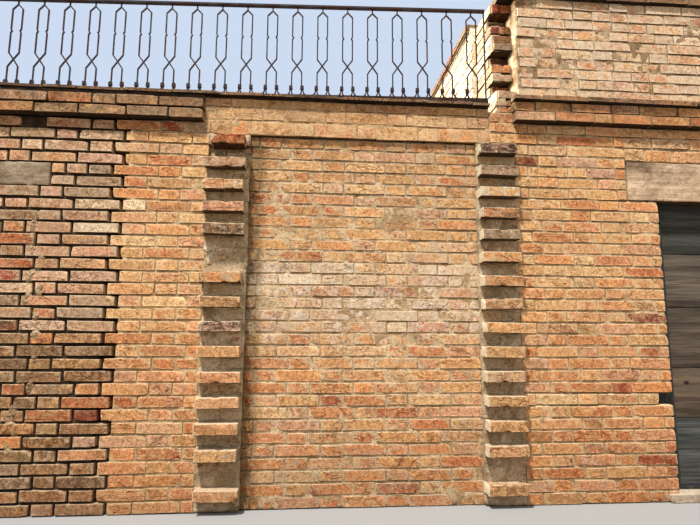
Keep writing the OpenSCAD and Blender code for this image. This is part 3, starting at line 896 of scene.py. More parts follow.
def stone_material(name, color, dark, bands, dark_place=None):
    """Rough hewn stone with faint layers, dark specks and stains; it may be darker round a given place."""
    material, tree, shader = start_material(name, 0.92)
    where = object_place(tree)
    layers = noise(tree, stretched(tree, where, (2.2, 2.2, bands)), 1.0, 5.0, 0.65, 0.3)
    patch = noise(tree, where, 5.0, 4.0, 0.65, 0.5)
    fine = noise(tree, where, 150.0, 4.0, 0.75)
    medium = noise(tree, where, 42.0, 4.0, 0.7)
    tone = mix(tree, stretch(tree, layers, 0.36, 0.64), dark, color)
    tone = tint(tree, stretch(tree, patch, 0.55, 0.36), tone, (0.72, 0.70, 0.68, 1))
    tone = tint(tree, stretch(tree, medium, 0.44, 0.32), tone, (0.50, 0.46, 0.42, 1))
    tone = tint(tree, stretch(tree, medium, 0.55, 0.74), tone, (1.25, 1.24, 1.22, 1))
    tone = tint(tree, stretch(tree, fine, 0.55, 0.36), tone, grey(0.66))
    if dark_place:
        away = add(tree, "ShaderNodeVectorMath", {0: where, 1: dark_place}, operation="SUBTRACT").outputs[0]
        away = add(tree, "ShaderNodeVectorMath", {0: stretched(tree, away, (1.0, 0.3, 2.2))},
                   operation="LENGTH").outputs["Value"]
        near = stretch(tree, plus(tree, away, times(tree, patch, 0.20)), 0.42, 0.12)
        tone = tint(tree, near, tone, (0.50, 0.47, 0.43, 1))
    weathered = use_group(tree, WEATHER_AND_SHADE, {
        "Color": tone, "Top": 2.16, "Reach": 0.25, "Runs": 0.35, "Foot": 0.2})
    height = plus(tree, times(tree, fine, 0.4), plus(tree, medium, layers))
    coat(tree, shader, weathered["Color"], height, 0.006)
    return material


def iron_material():
    """Wrought iron under old dark paint, with rust coming through."""
    material, tree, shader = start_material("rusted iron", 0.62)
    where = object_place(tree)
    patch = noise(tree, where, 9.0, 4.0, 0.7, 0.4)
    fine = noise(tree, where, 120.0, 4.0, 0.7)
    tone = mix(tree, stretch(tree, patch, 0.48, 0.62), srgb(40, 26, 22), srgb(72, 42, 30))
    tone = tint(tree, stretch(tree, fine, 0.55, 0.38), tone, grey(0.55))
    tone = mix(tree, stretch(tree, fine, 0.62, 0.72), tone, srgb(110, 66, 44))
    tree.links.new(stretch(tree, patch, 0.4, 0.62, 0.5, 0.85), shader.inputs["Roughness"])
    coat(tree, shader, tone, plus(tree, fine, patch), 0.0012)
    return material


def wood_grain(tree, along):
    """The place drawn out along the boards, for long fibres and for fine ones."""
    where = object_place(tree)
    if along == "X":
        return stretched(tree, where, (1.4, 3.0, 26.0)), stretched(tree, where, (5.0, 12.0, 150.0))
    return stretched(tree, where, (26.0, 3.0, 1.4)), stretched(tree, where, (150.0, 12.0, 5.0))


def board_material():
    """Weathered boards: silvered grain, dark checks along it and a knot."""
    material, tree, shader = start_material("weathered board", 0.82)
    tone = carried(tree, "tone")["Color"]
    wide, narrow = wood_grain(tree, "X")
    where = object_place(tree)
    spot = add(tree, "ShaderNodeVectorMath", {0: where, 1: KNOT}, operation="SUBTRACT").outputs[0]
    spot = stretched(tree, spot, (1.0, 1.0, 1.5))
    away = add(tree, "ShaderNodeVectorMath", {0: spot}, operation="LENGTH").outputs["Value"]
    rings = times(tree, stretch(tree, away, 0.07, 0.0), math_node(tree, "SINE", times(tree, away, 420.0)))
    bands = plus(tree, noise(tree, wide, 1.0, 4.0, 0.6, 0.5), times(tree, rings, 0.12))
    fibres = noise(tree, narrow, 1.0, 3.0, 0.7, 0.2)
    color = tint(tree, stretch(tree, bands, 0.58, 0.38), tone, (0.55, 0.52, 0.50, 1))
    color = tint(tree, stretch(tree, bands, 0.52, 0.70), color, (1.45, 1.40, 1.34, 1))
    color = tint(tree, stretch(tree, fibres, 0.50, 0.34), color, grey(0.52))
    color = tint(tree, stretch(tree, fibres, 0.56, 0.72), color, grey(1.3))
    color = mix(tree, stretch(tree, away, 0.024, 0.012), color, srgb(34, 27, 22))
    coat(tree, shader, color, plus(tree, bands, times(tree, fibres, 0.8)), 0.003)
    return material


def painted_material(name, paint, bare):
    """Old paint that has chalked and worn through to the wood along its grain."""
    material, tree, shader = start_material(name, 0.7)
    wide, narrow = wood_grain(tree, "Z")
    where = object_place(tree)
    worn = noise(tree, where, 12.0, 5.0, 0.72, 0.5)
    fibres = noise(tree, narrow, 1.0, 3.0, 0.7, 0.2)
    chalk = tint(tree, stretch(tree, noise(tree, wide, 1.0, 3.0), 0.4, 0.65), paint, grey(1.35))
    color = mix(tree, stretch(tree, plus(tree, worn, times(tree, fibres, 0.4)), 0.78, 0.86), chalk, bare)
    color = tint(tree, stretch(tree, fibres, 0.45, 0.34), color, grey(0.6))
    coat(tree, shader, color, fibres, 0.002)
    return material


KNOT = (1.47, -0.103, 0.69)
LINTEL_DARK_PLACE = (1.18, -0.19, 2.10)

MATERIALS = {
    "old": brick_material("old brick", srgb(220, 194, 158), smear=0.9, runs=0.6),
    "golden": brick_material("golden brick", SANDY, runs=0.30, reach=0.3),
    "panel": brick_material("panel brick", PALE_MORTAR, runs=0.40, reach=0.40, top=2.25, salt=0.7,
                            beside=PANEL_LEFT),
    "plastered": brick_material("plastered brick", srgb(218, 196, 160), runs=0.25),
    "frieze": brick_material("frieze brick", srgb(228, 190, 144), runs=0.45, reach=0.10),
    # Strip bricks: left sides paler with lime and painted light from the left
    "strip": brick_material("strip brick", PALE_MORTAR, runs=0.7, reach=0.7, left_lime_and_light=0.9),
    "cornice": brick_material("cornice brick", OLIVE, runs=0.8, top=2.5, reach=0.3),
    "right cornice": brick_material("right cornice brick", OLIVE, grime=0.7, runs=0.5, top=2.5, reach=0.3),
    "tile": brick_material("tile", srgb(160, 140, 112), runs=0.3, top=3.4, foot=0.0),
    "pale": brick_material("pale brick", srgb(240, 220, 188), top=3.3, reach=0.3, foot=0.0),
    "raked joint": mortar_material("raked joint", DARK_MORTAR, srgb(52, 40, 30)),
    "mortar": mortar_material("sandy mortar", srgb(232, 204, 160), srgb(186, 152, 110), runs=0.3),
    "panel mortar": mortar_material("pale mortar", srgb(238, 212, 170), srgb(188, 156, 114), runs=0.4,
                                    beside=PANEL_LEFT),
    "frieze mortar": mortar_material("frieze mortar", srgb(232, 198, 150), srgb(196, 160, 114),
                                     reach=0.10, runs=0.45),
    "pier mortar": mortar_material("pier mortar", srgb(236, 214, 178), srgb(170, 148, 114),
                                   reach=1.2, runs=0.3),
    "lime": mortar_material("lime mortar", srgb(222, 196, 158), srgb(160, 130, 94), top=3.3, reach=0.3),
    # On the return wall this mortar's paleness is partly painted light for the sun on that side
    "cream mortar": mortar_material("cream mortar", srgb(244, 226, 194), srgb(206, 182, 148),
                                    top=3.3, reach=0.1),
    "cement": mortar_material("cement", srgb(204, 178, 140), srgb(150, 126, 94)),
    "lintel": stone_material("lintel stone", srgb(238, 210, 178), srgb(206, 176, 144), 34.0, LINTEL_DARK_PLACE),
    "inset": stone_material("grey stone", srgb(184, 164, 138), srgb(146, 128, 104), 14.0),
    "threshold": stone_material("pale stone", srgb(206, 190, 164), srgb(172, 152, 126), 6.0),
    "iron": iron_material(),
    "board": board_material(),
    # The frame's dark grey is partly its worn paint and partly painted shade, for the jamb's shadow over the
    # frame
    "paint": painted_material("worn paint", srgb(44, 44, 40), srgb(70, 62, 52)),
    "batten": painted_material("bare batten", srgb(92, 80, 68), srgb(112, 98, 84)),
}


# The sections of the wall, from the left

RAKED = 0.018
BACK_RAKED = 0.012
OLD_END = -0.031
NEW_START = -0.009
GROOVE = 0.062
JOINT_LEAN = 0.013
GROOVE_END = JOINT_LINE + TOOTH + 0.014
LEFT_COURSES = round(old_high.z / COURSE)
JAMB_COURSES = round(jamb_high.z / COURSE)
PANEL_COURSES = round(panel_high.z / COURSE)
STONE_COURSES = (26, 27)
LOW_COURSES = 14
LINTEL_COURSE = 26
LINTEL_GAP = 0.007
LINTEL_TOP = lintel_high.z - 0.020
END_DEPTHS = (HEADER, STRETCHER)


def joint_edge(n):
    """Where the toothed joint lies in course n. It leans a little: its foot lies farther right."""
    return JOINT_LINE + (TOOTH if n % 2 == 0 else -TOOTH) + JOINT_LEAN * (old_high.z - n * COURSE)


def old_bond(n):
    """The old wall's bricks, counted from the toothed joint leftwards. Its bond is uneven."""
    uneven = {28: "SSH", 27: "HHQ", 26: "ST", 8: "SHH"}
    if n in uneven:
        return uneven[n]
    if 9 < n < 26:
        return "SH" if n % 2 else "SSH"
    return "HS" if n % 2 else "SH"


# Bricks that stand out, here and below: the course, a place along the wall, and the tone
OLD_ACCENTS = (
    (31, -2.57, "dark_red"), (29, -2.57, "pale"), (29, -2.19, "pale"), (28, -2.64, "salmon"),
    (27, -2.19, "grey"), (25, -2.63, "grey"), (24, -2.18, "cream"), (23, -2.62, "dirt"),
    (23, -2.44, "grey"), (22, -2.62, "orange"), (22, -2.17, "cream"), (21, -2.60, "rust"),
    (20, -2.62, "dirt"), (19, -2.61, "rust"), (18, -2.64, "red"), (18, -2.17, "pink"),
    (16, -2.61, "dirt"), (16, -2.42, "salmon"), (16, -2.17, "grey"), (15, -2.42, "rust"),
    (15, -2.22, "grey"), (14, -2.61, "umber"), (13, -2.42, "orange"), (12, -2.41, "dirt"),
    (11, -2.57, "dirt"), (9, -2.56, "rust"), (9, -2.35, "grey"), (9, -2.15, "orange"), (8, -2.47, "dirt"),
    (8, -2.16, "rust"), (7, -2.51, "brown"), (7, -2.15, "dark_red"), (6, -2.34, "olive"),
    (5, -2.53, "orange"), (5, -2.15, "pink"), (4, -2.51, "olive"), (4, -2.15, "salmon"),
    (3, -2.51, "grey"), (2, -2.49, "grey"), (2, -2.15, "dirt"),
)

# One header near the top left has sunk back: where it lies, and how far back
SET_BACK_BRICK = (-2.57, 31.5 * COURSE)
SET_BACK = 0.034


def old_wall():
    wall = Masonry("old_wall_bricks", 11, OLD_ACCENTS)
    for n in range(LEFT_COURSES):
        z = n * COURSE
        corner = END_DEPTHS[n % 2]
        edge = joint_edge(n) + OLD_END
        if n in STONE_COURSES:
            wall.course(FRONT_SIDE, inset_high.x + JOINT, edge, z, n, OLD, last=old_bond(n))
            wall.course(FRONT_SIDE, LEFT, inset_low.x - JOINT, z, n, OLD, first="HT", depths=(corner, BODY))
        else:
            style = LOW_OLD if n < LOW_COURSES else OLD
            wall.course(FRONT_SIDE, LEFT, edge, z, n, style, last=old_bond(n), depths=(corner, BODY))
        wall.course(BACK_SIDE, -JOINT_LINE, -LEFT, z, n, OLD, last="SH" if n % 2 else "HQS",
                    depths=(BODY, END_DEPTHS[1 - n % 2]))
    u, z = SET_BACK_BRICK

    def sunk_back(brick):
        return brick.side is FRONT_SIDE and brick.u0 < u < brick.u1 and brick.z0 < z < brick.z1

    wall.laid = [b._replace(proud=-SET_BACK) if sunk_back(b) else b for b in wall.laid]
    top = old_high.z
    groove = JOINT_LINE - TOOTH + OLD_END
    wall.front_bed(LEFT + EDGE, groove, BED_FOOT, top, RAKED, rough=0.010)
    wall.front_bed(groove, GROOVE_END, BED_FOOT, top, GROOVE)
    wall.back_bed(-JOINT_LINE, -LEFT - EDGE, BED_FOOT, top, BACK_RAKED)
    wall.finish("old", "raked joint", ["old_wall_section"])


# Where mortar was pressed onto the wall, as places along it and heights: over a crack, and on the left strip
CRACK = (
    (-2.57, 1.84), (-2.52, 1.67), (-2.55, 1.60), (-2.54, 1.47), (-2.48, 1.39), (-2.54, 1.32),
    (-2.48, 1.25), (-2.54, 1.18), (-2.48, 1.09), (-2.48, 0.95), (-2.46, 0.84), (-2.53, 0.74),
    (-2.49, 0.68), (-2.56, 0.57), (-2.58, 0.51), (-2.54, 0.44), (-2.56, 0.35),
)
LIME_LUMPS = (
    (-1.515, 1.500), (-1.535, 1.480), (-1.490, 1.490), (-1.525, 1.455), (-1.545, 1.425), (-1.515, 1.415),
    (-1.550, 1.530), (-1.535, 1.310),
)


def pressed_lumps(name, places, number, wide, tall, material):
    """Mortar pressed by hand onto the wall, lump by lump."""
    rng = random.Random(31)
    lumps = []
    for x, z in places:
        for _ in range(number):
            bpy.ops.mesh.primitive_ico_sphere_add(subdivisions=4, radius=1.0)
            lump = bpy.context.object
            lump.scale = (rng.uniform(*wide), 0.012, rng.uniform(*tall))
            lump.rotation_euler.y = rng.uniform(-0.5, 0.5)
            lump.location = (x + rng.uniform(-0.012, 0.012), FRONT + 0.010, z + rng.uniform(-0.022, 0.022))
            bpy.ops.object.transform_apply(location=True, rotation=True, scale=True)
            apply_displace(lump, "cement waves", 0.03, 0.014, 1)
            apply_displace(lump, "cement lumps", 0.010, 0.008, 2)
            lumps.append(lump)
    put_on(join(name, lumps), MATERIALS[material])


def hewn(name, low, high, cell, rough, chips=(), lumps=1.0):
    """A rough stone: a box with its corners broken off, finely divided and made uneven."""
    stone = begin_box(low, high)
    for point, normal in chips:
        cut_off(point, normal)
    finish_shape(stone, name)
    apply_modifier(stone, "REMESH", mode="VOXEL", voxel_size=cell)
    apply_displace(stone, "stone waves", 0.16, rough * 1.4, 2)
    apply_displace(stone, "stone lumps", 0.04, rough * lumps, 3)
    apply_modifier(stone, "SMOOTH", factor=0.5, iterations=1)
    for polygon in stone.data.polygons:
        polygon.use_smooth = True
    return stone


def stones():
    inset = hewn("inset_block", inset_low, inset_high, 0.007, 0.006)
    put_on(inset, MATERIALS["inset"], replaces=["inset_stone"])
    x, y, z = lintel_low
    chips = [((x + 0.020, y, z), (-0.8, -0.2, -0.5)), ((x + 0.30, y + 0.006, z), (0.02, -1.0, -0.9))]
    start = (x + LINTEL_GAP, y + 0.004, z + 0.004)
    stop = (lintel_high.x, lintel_high.y, LINTEL_TOP)
    lintel = hewn("lintel_block", start, stop, 0.009, 0.006, chips, 1.4)
    put_on(lintel, MATERIALS["lintel"], replaces=["door_lintel"])
    step = hewn("threshold_block", threshold_low, threshold_high, 0.010, 0.003)
    put_on(step, MATERIALS["threshold"], replaces=["door_threshold"])


SECOND_ACCENTS = (
    (31, -1.79, "red"), (31, -1.62, "grey"), (30, -1.99, "salmon"), (28, -1.80, "rust"),
    (27, -2.07, "orange"), (26, -1.99, "rust"), (25, -1.98, "orange"), (24, -1.98, "cream"),
    (8, -2.00, "rust"), (8, -1.77, "orange"),
)


def second_wall():
    wall = Masonry("second_wall_bricks", 12, SECOND_ACCENTS)
    for n in range(LEFT_COURSES):
        z = n * COURSE
        style = LOW_GOLDEN if n < LOW_COURSES else GOLDEN
        wall.course(FRONT_SIDE, joint_edge(n) + NEW_START, STRIP_LEFT, z, n, style,
                    first="SH" if n % 2 else "HS")
        wall.back_course(-STRIP_LEFT, -JOINT_LINE, z, n)
    top = old_high.z
    wall.front_bed(GROOVE_END, STRIP_LEFT, BED_FOOT, top)
    wall.back_bed(-STRIP_LEFT, -JOINT_LINE, BED_FOOT, top)
    wall.finish("golden", "mortar", ["second_wall_section"])


STRIP_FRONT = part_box("left_strip_bricks")[0].y + 0.006
STRIP_COURSES = (*range(30, 2, -2), 1)
HOLE_COURSE = 29
HOLE_DEPTH = 0.036
HOLE_ROUGH = 0.020
PIER_SUNK = 0.004
PIER_ROUGH = 0.014
LEFT_TONES = {
    30: ("orange", "red"), 28: ("pale", "salmon"), 26: ("golden", "pale"), 24: ("salmon", "pink"),
    22: ("dirt", "umber"), 18: ("orange", "golden"), 16: ("golden", "brown"), 14: ("umber", "pink"),
}
RIGHT_TONES = {
    30: ("umber", "pink"), 28: ("grey", "pink"), 26: ("golden", "cream"), 24: ("brown", "orange"),
    22: ("dirt", "grey"), 20: ("orange", "golden"), 18: ("honey", "orange"), 16: ("brown", "golden"),
}
SUNKEN = {30: 0.020, 28: 0.020, 26: 0.014, 24: 0.006}
BROKEN_IN_TWO = {26: 0.53, 18: 0.13}
MISSING = 20
LEFT_LEAN = 0.008


def pier(name, seed, x0, x1, node, hole=None):
    """A strip's face between the bricks that stand out: old brickwork under rough mortar."""
    wall = Masonry(name + "_pier_bricks", seed)
    for n in range(PANEL_COURSES):
        if n != hole and (n % 2 or n == MISSING):
            wall.course(FRONT_SIDE, x0, x1, n * COURSE, n, PLASTERED, first="S" if n % 4 == 1 else "HH",
                        out=-0.003)
        wall.back_course(-x1, -x0, n * COURSE, n)
    top = panel_high.z
    if hole:
        low, high = hole * COURSE, (hole + 1) * COURSE
        wall.front_bed(x0, x1, BED_FOOT, low, PIER_SUNK, rough=PIER_ROUGH)
        wall.front_bed(x0, x1, low, high, HOLE_DEPTH, rough=HOLE_ROUGH)
        wall.front_bed(x0, x1, high, top, PIER_SUNK, rough=PIER_ROUGH)
        # What is left in the hole: three pieces of brick, one on top of the others
        for start, stop, z, height, back, tone in (
                (x0 + 0.01, x0 + 0.10, low, 0.040, 0.022, "umber"),
                (x0 + 0.11, x0 + 0.21, low, 0.030, 0.014, "grey"),
                (x0 + 0.17, x1, low + 0.03, 0.034, 0.028, "umber")):
            wall.brick(FRONT_SIDE, start, stop, z, hole, PLASTERED, height=height, out=-back, tone=tone)
    else:
        wall.front_bed(x0, x1, BED_FOOT, top, PIER_SUNK, rough=PIER_ROUGH)
    wall.back_bed(-x1, -x0, BED_FOOT, top)
    wall.finish("plastered", "pier mortar", [node])


def strip_blocks(name, seed, x0, x1, tones, node, left):
    """The bricks that stand out of a strip, every other course."""
    blocks = Masonry(name + "_strip_blocks", seed)
    side = side_at(0, STRIP_FRONT)
    rng = blocks.rng
    for n in STRIP_COURSES:
        if left and n == MISSING:
            continue
        lean = LEFT_LEAN * n * COURSE if left else 0.0
        a = x0 + rng.uniform(-0.002, 0.010) - lean
        b = x1 - rng.uniform(-0.002, 0.014) - lean
        z = n * COURSE + 0.004 - SUNKEN.get(n, 0.0)
        tone, other = tones.get(n, (None, None))
        given = {"depth": BLOCK_DEPTH, "shapes": BLOCKS, "height": BRICK_H + 0.003, "other": other}
        if left and n == max(STRIP_COURSES):
            blocks.brick(side, a + 0.04, b, z, n, STRIP, tone=tone, **{**given, "shapes": WEDGE})
        elif left and n in BROKEN_IN_TWO:
            middle = a + (b - a) * BROKEN_IN_TWO[n]
            blocks.brick(side, a, middle - 0.001, z, n, STRIP, **given)
            blocks.brick(side, middle + 0.001, b, z, n, STRIP, tone=tone, **given)
        else:
            blocks.brick(side, a, b, z, n, STRIP, tone=tone, **given)
    blocks.finish("strip", None, [node])


def strips():
    pier("left", 41, STRIP_LEFT, PANEL_LEFT, "left_strip_pier", HOLE_COURSE)
    pier("right", 42, STRIP_RIGHT, JAMB_LEFT, "right_strip_pier")
    strip_blocks("left", 43, STRIP_LEFT, PANEL_LEFT, LEFT_TONES, "left_strip_bricks", True)
    strip_blocks("right", 44, STRIP_RIGHT, JAMB_LEFT, RIGHT_TONES, "right_strip_bricks", False)


PANEL_ACCENTS = (
    (17, -0.35, "rust"), (8, -0.83, "red"), (7, -0.42, "rust"), (17, -0.99, "salmon"),
    (14, -0.99, "orange"), (25, -0.69, "salmon"),
)
# The panel's bands: over these courses it is stained, and under that it has bloomed pale
STAINED_FROM = 19
PALE_FROM = 13
PANEL_SUNK = 0.0035


def panel():
    wall = Masonry("panel_bricks", 13, PANEL_ACCENTS)
    side = side_at(0, panel_low.y)
    for n in range(PANEL_COURSES):
        style = UPPER if n > STAINED_FROM else PINK if n > PALE_FROM else LOWER
        z = n * COURSE
        wall.course(side, PANEL_LEFT, STRIP_RIGHT, z, n, style, phase=-0.925 if n % 2 else -0.73)
        wall.back_course(-STRIP_RIGHT, -PANEL_LEFT, z, n)
    half = (BACK - panel_low.y) / 2
    wall.bed(side, PANEL_LEFT, STRIP_RIGHT, BED_FOOT, panel_high.z, PANEL_SUNK, half - PANEL_SUNK,
             rough=0.009)
    wall.bed(BACK_SIDE, -STRIP_RIGHT, -PANEL_LEFT, BED_FOOT, panel_high.z, BACK_SUNK, half - BACK_SUNK,
             COARSE)
    wall.finish("panel", "panel mortar", ["centre_panel"])


FRIEZE_JOINTS = (2.201, 2.296, 2.378, frieze_high.z)
FRIEZE_STEP = 0.201
FRIEZE_BACK = 0.010
# Its mortar: how far it lies over the ledge and behind the bricks, the size of its faces, how uneven it is,
# and how far it lies behind the front's golden bricks and behind the back's
FRIEZE_BED = 0.003
FRIEZE_CELL = 0.010
FRIEZE_ROUGH = 0.006
FRIEZE_SUNK = 0.004
FRIEZE_BACK_SUNK = 0.006


def frieze():
    """Three courses smoothed over with mortar, with a ledge over the panel."""
    wall = Masonry("frieze_bricks", 15, ((32, 0.20, "salmon"), (32, 0.29, "orange"), (31, 0.05, "orange")))
    x0, x1, z0, z1 = frieze_low.x, frieze_high.x, frieze_low.z, jamb_high.z + COURSE
    for k, (low, high) in enumerate(zip(FRIEZE_JOINTS, FRIEZE_JOINTS[1:])):
        n = PANEL_COURSES + k
        rise = high - low
        wall.course(FRONT_SIDE, x0, FRIEZE_STEP, low + (rise - COURSE) / 2, n, FRIEZE,
                    phase=HALF_BOND * (n % 2) + 0.06, height=rise - FRIEZE.joint, out=-FRIEZE_BACK)
        wall.course(FRONT_SIDE, FRIEZE_STEP + FRIEZE.joint, x1, z0 + k * COURSE, n, GOLDEN,
                    first="H" if k == 1 else "QH")
        wall.back_course(-x1, -x0, z0 + k * COURSE, n)
    foot = z0 + FRIEZE_BED
    wall.front_bed(x0, FRIEZE_STEP, foot, frieze_high.z - 0.002, FRIEZE_BACK + FRIEZE_BED, FRIEZE_CELL,
                   FRIEZE_ROUGH)
    wall.front_bed(FRIEZE_STEP, x1, foot, z1, FRIEZE_SUNK, FRIEZE_CELL, FRIEZE_ROUGH)
    wall.back_bed(-x1, -x0, foot, z1, FRIEZE_BACK_SUNK)
    wall.finish("frieze", "frieze mortar", ["frieze_band"])


JAMB_ACCENTS = (
    (31, 0.75, "rust"), (29, 0.45, "dark_red"), (29, 0.78, "pink"), (28, 0.93, "pink"),
    (25, 1.15, "orange"), (21, 1.10, "salmon"), (19, 1.18, "rust"), (16, 1.15, "brown"),
    (15, 1.18, "dark_red"), (14, 1.00, "salmon"), (12, 1.15, "rust"), (9, 0.96, "red"), (8, 0.95, "rust"),
    (7, 1.15, "orange"), (4, 0.94, "orange"), (3, 1.13, "red"),
)
BESIDE_LINTEL = {26: "QTHS", 27: "QHS", 28: "QTHS", 29: "QHSH", 30: "SHS", 31: "QHSH", 32: "SS"}
FALLEN_COURSE = 8
FALLEN = 0.062
FRAME_DEPTH = post_low.y - FRONT
JAMB_OVER = 0.024
HIDDEN_CELL = 0.1


def jamb():
    wall = Masonry("jamb_bricks", 14, JAMB_ACCENTS)
    for n in range(JAMB_COURSES):
        z = n * COURSE
        high = n >= LINTEL_COURSE
        edge = lintel_low.x if high else DOOR_LEFT
        if high:
            gap = LINTEL_GAP if n < round(lintel_high.z / COURSE) else 0.0
            wall.course(FRONT_SIDE, JAMB_LEFT, edge - gap, z, n, GOLDEN, last=BESIDE_LINTEL[n])
        elif n == FALLEN_COURSE:
            wall.course(FRONT_SIDE, JAMB_LEFT, edge - FALLEN, z, n, GOLDEN, last="HS")
        else:
            style = LOW_GOLDEN if n < LOW_COURSES else GOLDEN
            wall.course(FRONT_SIDE, JAMB_LEFT, edge + JAMB_OVER, z, n, style, last="SH" if n % 2 else "QHS")
        back_edge = -lintel_low.x if high else -DOOR_LEFT + REBATE
        wall.back_course(back_edge, -JAMB_LEFT, z, n)
    low, high, top = FALLEN_COURSE * COURSE, (FALLEN_COURSE + 1) * COURSE, lintel_low.z
    bed_end = DOOR_LEFT + JAMB_OVER - EDGE
    fallen_end = DOOR_LEFT - FALLEN - 0.004
    for stop, z0, z1 in ((bed_end, BED_FOOT, low), (fallen_end, low, high), (bed_end, high, top)):
        wall.bed(FRONT_SIDE, JAMB_LEFT, stop, z0, z1, SUNK, FRAME_DEPTH - SUNK)
    wall.front_bed(JAMB_LEFT, DOOR_LEFT - REBATE, BED_FOOT, top, FRAME_DEPTH, HIDDEN_CELL, 0)
    wall.front_bed(JAMB_LEFT, lintel_low.x, top, jamb_high.z)
    wall.back_bed(-DOOR_LEFT + REBATE + 0.005, -JAMB_LEFT, BED_FOOT, top)
    wall.back_bed(-lintel_low.x, -JAMB_LEFT, top, jamb_high.z)
    wall.finish("golden", "mortar", ["jamb_wall_section"])


def over_door():
    wall = Masonry("over_door_bricks", 16)
    x0, x1, z0 = lintel_low.x, lintel_high.x, lintel_high.z
    bonds = ("HTS", "TSH", "HSS")
    for k, first in enumerate(bonds):
        n = round(z0 / COURSE) + k
        if k:
            wall.course(FRONT_SIDE, x0, x1, z0 + k * COURSE, n, GOLDEN, first=first)
        else:
            rise = z0 + COURSE - LINTEL_TOP
            wall.course(FRONT_SIDE, x0, x1, LINTEL_TOP + (rise - COURSE) / 2, n, GOLDEN, first=first,
                        height=rise - 0.014, shapes=BLOCKS)
        wall.back_course(-x1, -x0, z0 + k * COURSE, n)
    wall.front_bed(x0, x1, LINTEL_TOP, jamb_high.z)
    wall.back_bed(-x1, -x0, z0, jamb_high.z)
    wall.finish("golden", "mortar", ["wall_over_door"])


def end_wall():
    wall = Masonry("end_wall_bricks", 17)
    for n in range(JAMB_COURSES):
        z = n * COURSE
        high = n >= LINTEL_COURSE
        corner = END_DEPTHS[n % 2]
        edge = lintel_high.x if high else DOOR_RIGHT
        wall.course(FRONT_SIDE, edge, RIGHT, z, n, GOLDEN, first="SH" if n % 2 else "QHS",
                    depths=(BODY, corner))
        back_edge = -lintel_high.x if high else -DOOR_RIGHT - REBATE
        wall.course(BACK_SIDE, -RIGHT, back_edge, z, n, GOLDEN, first="HQS" if n % 2 else "SH",
                    depths=(END_DEPTHS[1 - n % 2], BODY))
    top = lintel_low.z
    wall.bed(FRONT_SIDE, DOOR_RIGHT + EDGE, RIGHT - EDGE, BED_FOOT, top, SUNK, FRAME_DEPTH - SUNK)
    wall.front_bed(DOOR_RIGHT + REBATE, RIGHT - EDGE, BED_FOOT, top, FRAME_DEPTH, HIDDEN_CELL, 0)
    wall.front_bed(lintel_high.x, RIGHT - EDGE, top, jamb_high.z)
    wall.back_bed(-RIGHT + EDGE, -DOOR_RIGHT - REBATE - 0.005, BED_FOOT, top)
    wall.back_bed(-RIGHT + EDGE, -lintel_high.x, top, jamb_high.z)
    wall.finish("golden", "mortar", ["end_wall_section"])


# Cornices, copings and caps

BAND_SUNK = 0.016
BAND_BACK_SUNK = 0.012
BAND_WANDER = 0.012


def band(name, seed, node, style, bricks, mortar, slot, first="", last="", gap=0.0, out=0.0):
    """A course or a row of tiles as long and deep as its node, laid on the front and on the back."""
    low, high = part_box(node)
    wall = Masonry(name, seed)
    front, back = side_at(0, low.y), side_at(180, high.y)
    middle = (low.y + high.y) / 2
    rise = high.z - low.z
    height = rise - (gap or style.joint)
    depth = middle - low.y - 0.005
    z = low.z + (rise - COURSE) / 2
    wall.course(front, low.x, high.x, z, 0, style, first=first, last=last, depths=(depth, depth), out=out,
                height=height, wander=BAND_WANDER)
    wall.course(back, -high.x, -low.x, z, 0, style, first="PPT", depths=(depth, depth), height=height,
                wander=BAND_WANDER)
    bottom, top = low.z + (rise - height) / 2 + 0.006, high.z - 0.002
    wall.bed(front, low.x + EDGE, high.x - EDGE, bottom, top, BAND_SUNK - out,
             middle - low.y - BAND_SUNK + out)
    wall.bed(back, -high.x + EDGE, -low.x - EDGE, bottom, top, BAND_BACK_SUNK,
             high.y - middle - BAND_BACK_SUNK, COARSE)
    wall.finish(bricks, mortar, [node])


def cornices():
    band("left_cornice_lower_bricks", 51, "left_cornice_lower", CORNICE, "cornice", "raked joint",
         "old_brick", last="TSSSSSS")
    band("left_cornice_upper_bricks", 52, "left_cornice_upper", CORNICE, "cornice", "raked joint",
         "old_brick", last="SSHSSSS")
    band("right_cornice_lower_bricks", 53, "right_cornice_lower", LOWER, "right cornice", "mortar",
         "golden_brick", first="SSHSSSSHSSS")
    band("right_cornice_upper_bricks", 54, "right_cornice_upper", UPPER, "right cornice", "mortar",
         "golden_brick", first="HSSTSSSSHSS")
    band("right_cornice_tile_bricks", 55, "right_cornice_tiles", TILES, "tile", "mortar",
         "tile", first="TPPTPPPTPPP", gap=0.004)
    band("coping_tile_bricks", 56, "coping_slabs", COPING, "tile", "raked joint",
         "tile", first="PPTPPPPTPPPPP", gap=0.007, out=-0.010)
    band("raised_cap_bricks", 57, "raised_wall_cap", TILES, "tile", "mortar",
         "tile", first="PPTPPPPPTPP", gap=0.006)


def return_cap():
    low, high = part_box("return_wall_cap")
    tiles = Masonry("return_cap_bricks", 58)
    side = side_at(270, low.x)
    tiles.course(side, -high.y, -low.y, low.z - 0.002, 0, TILES, first="PPPP", height=0.048)
    tiles.laid = [b._replace(depth=high.x - low.x) for b in tiles.laid]
    tiles.bed(side, -high.y + 0.01, -low.y - 0.01, low.z, high.z - 0.008, 0.010, high.x - low.x - 0.02,
              cell=0.05, rough=0.004)
    tiles.finish("tile", "mortar", ["return_wall_cap"])


# The raised wall, its broken end and the return wall

RAISED_COURSES = 10
# How far from its left end its bricks start, and its mortar, which shows between them
RAGGED = 0.050
RAGGED_BED = 0.043
RAISED_SUNK = 0.003


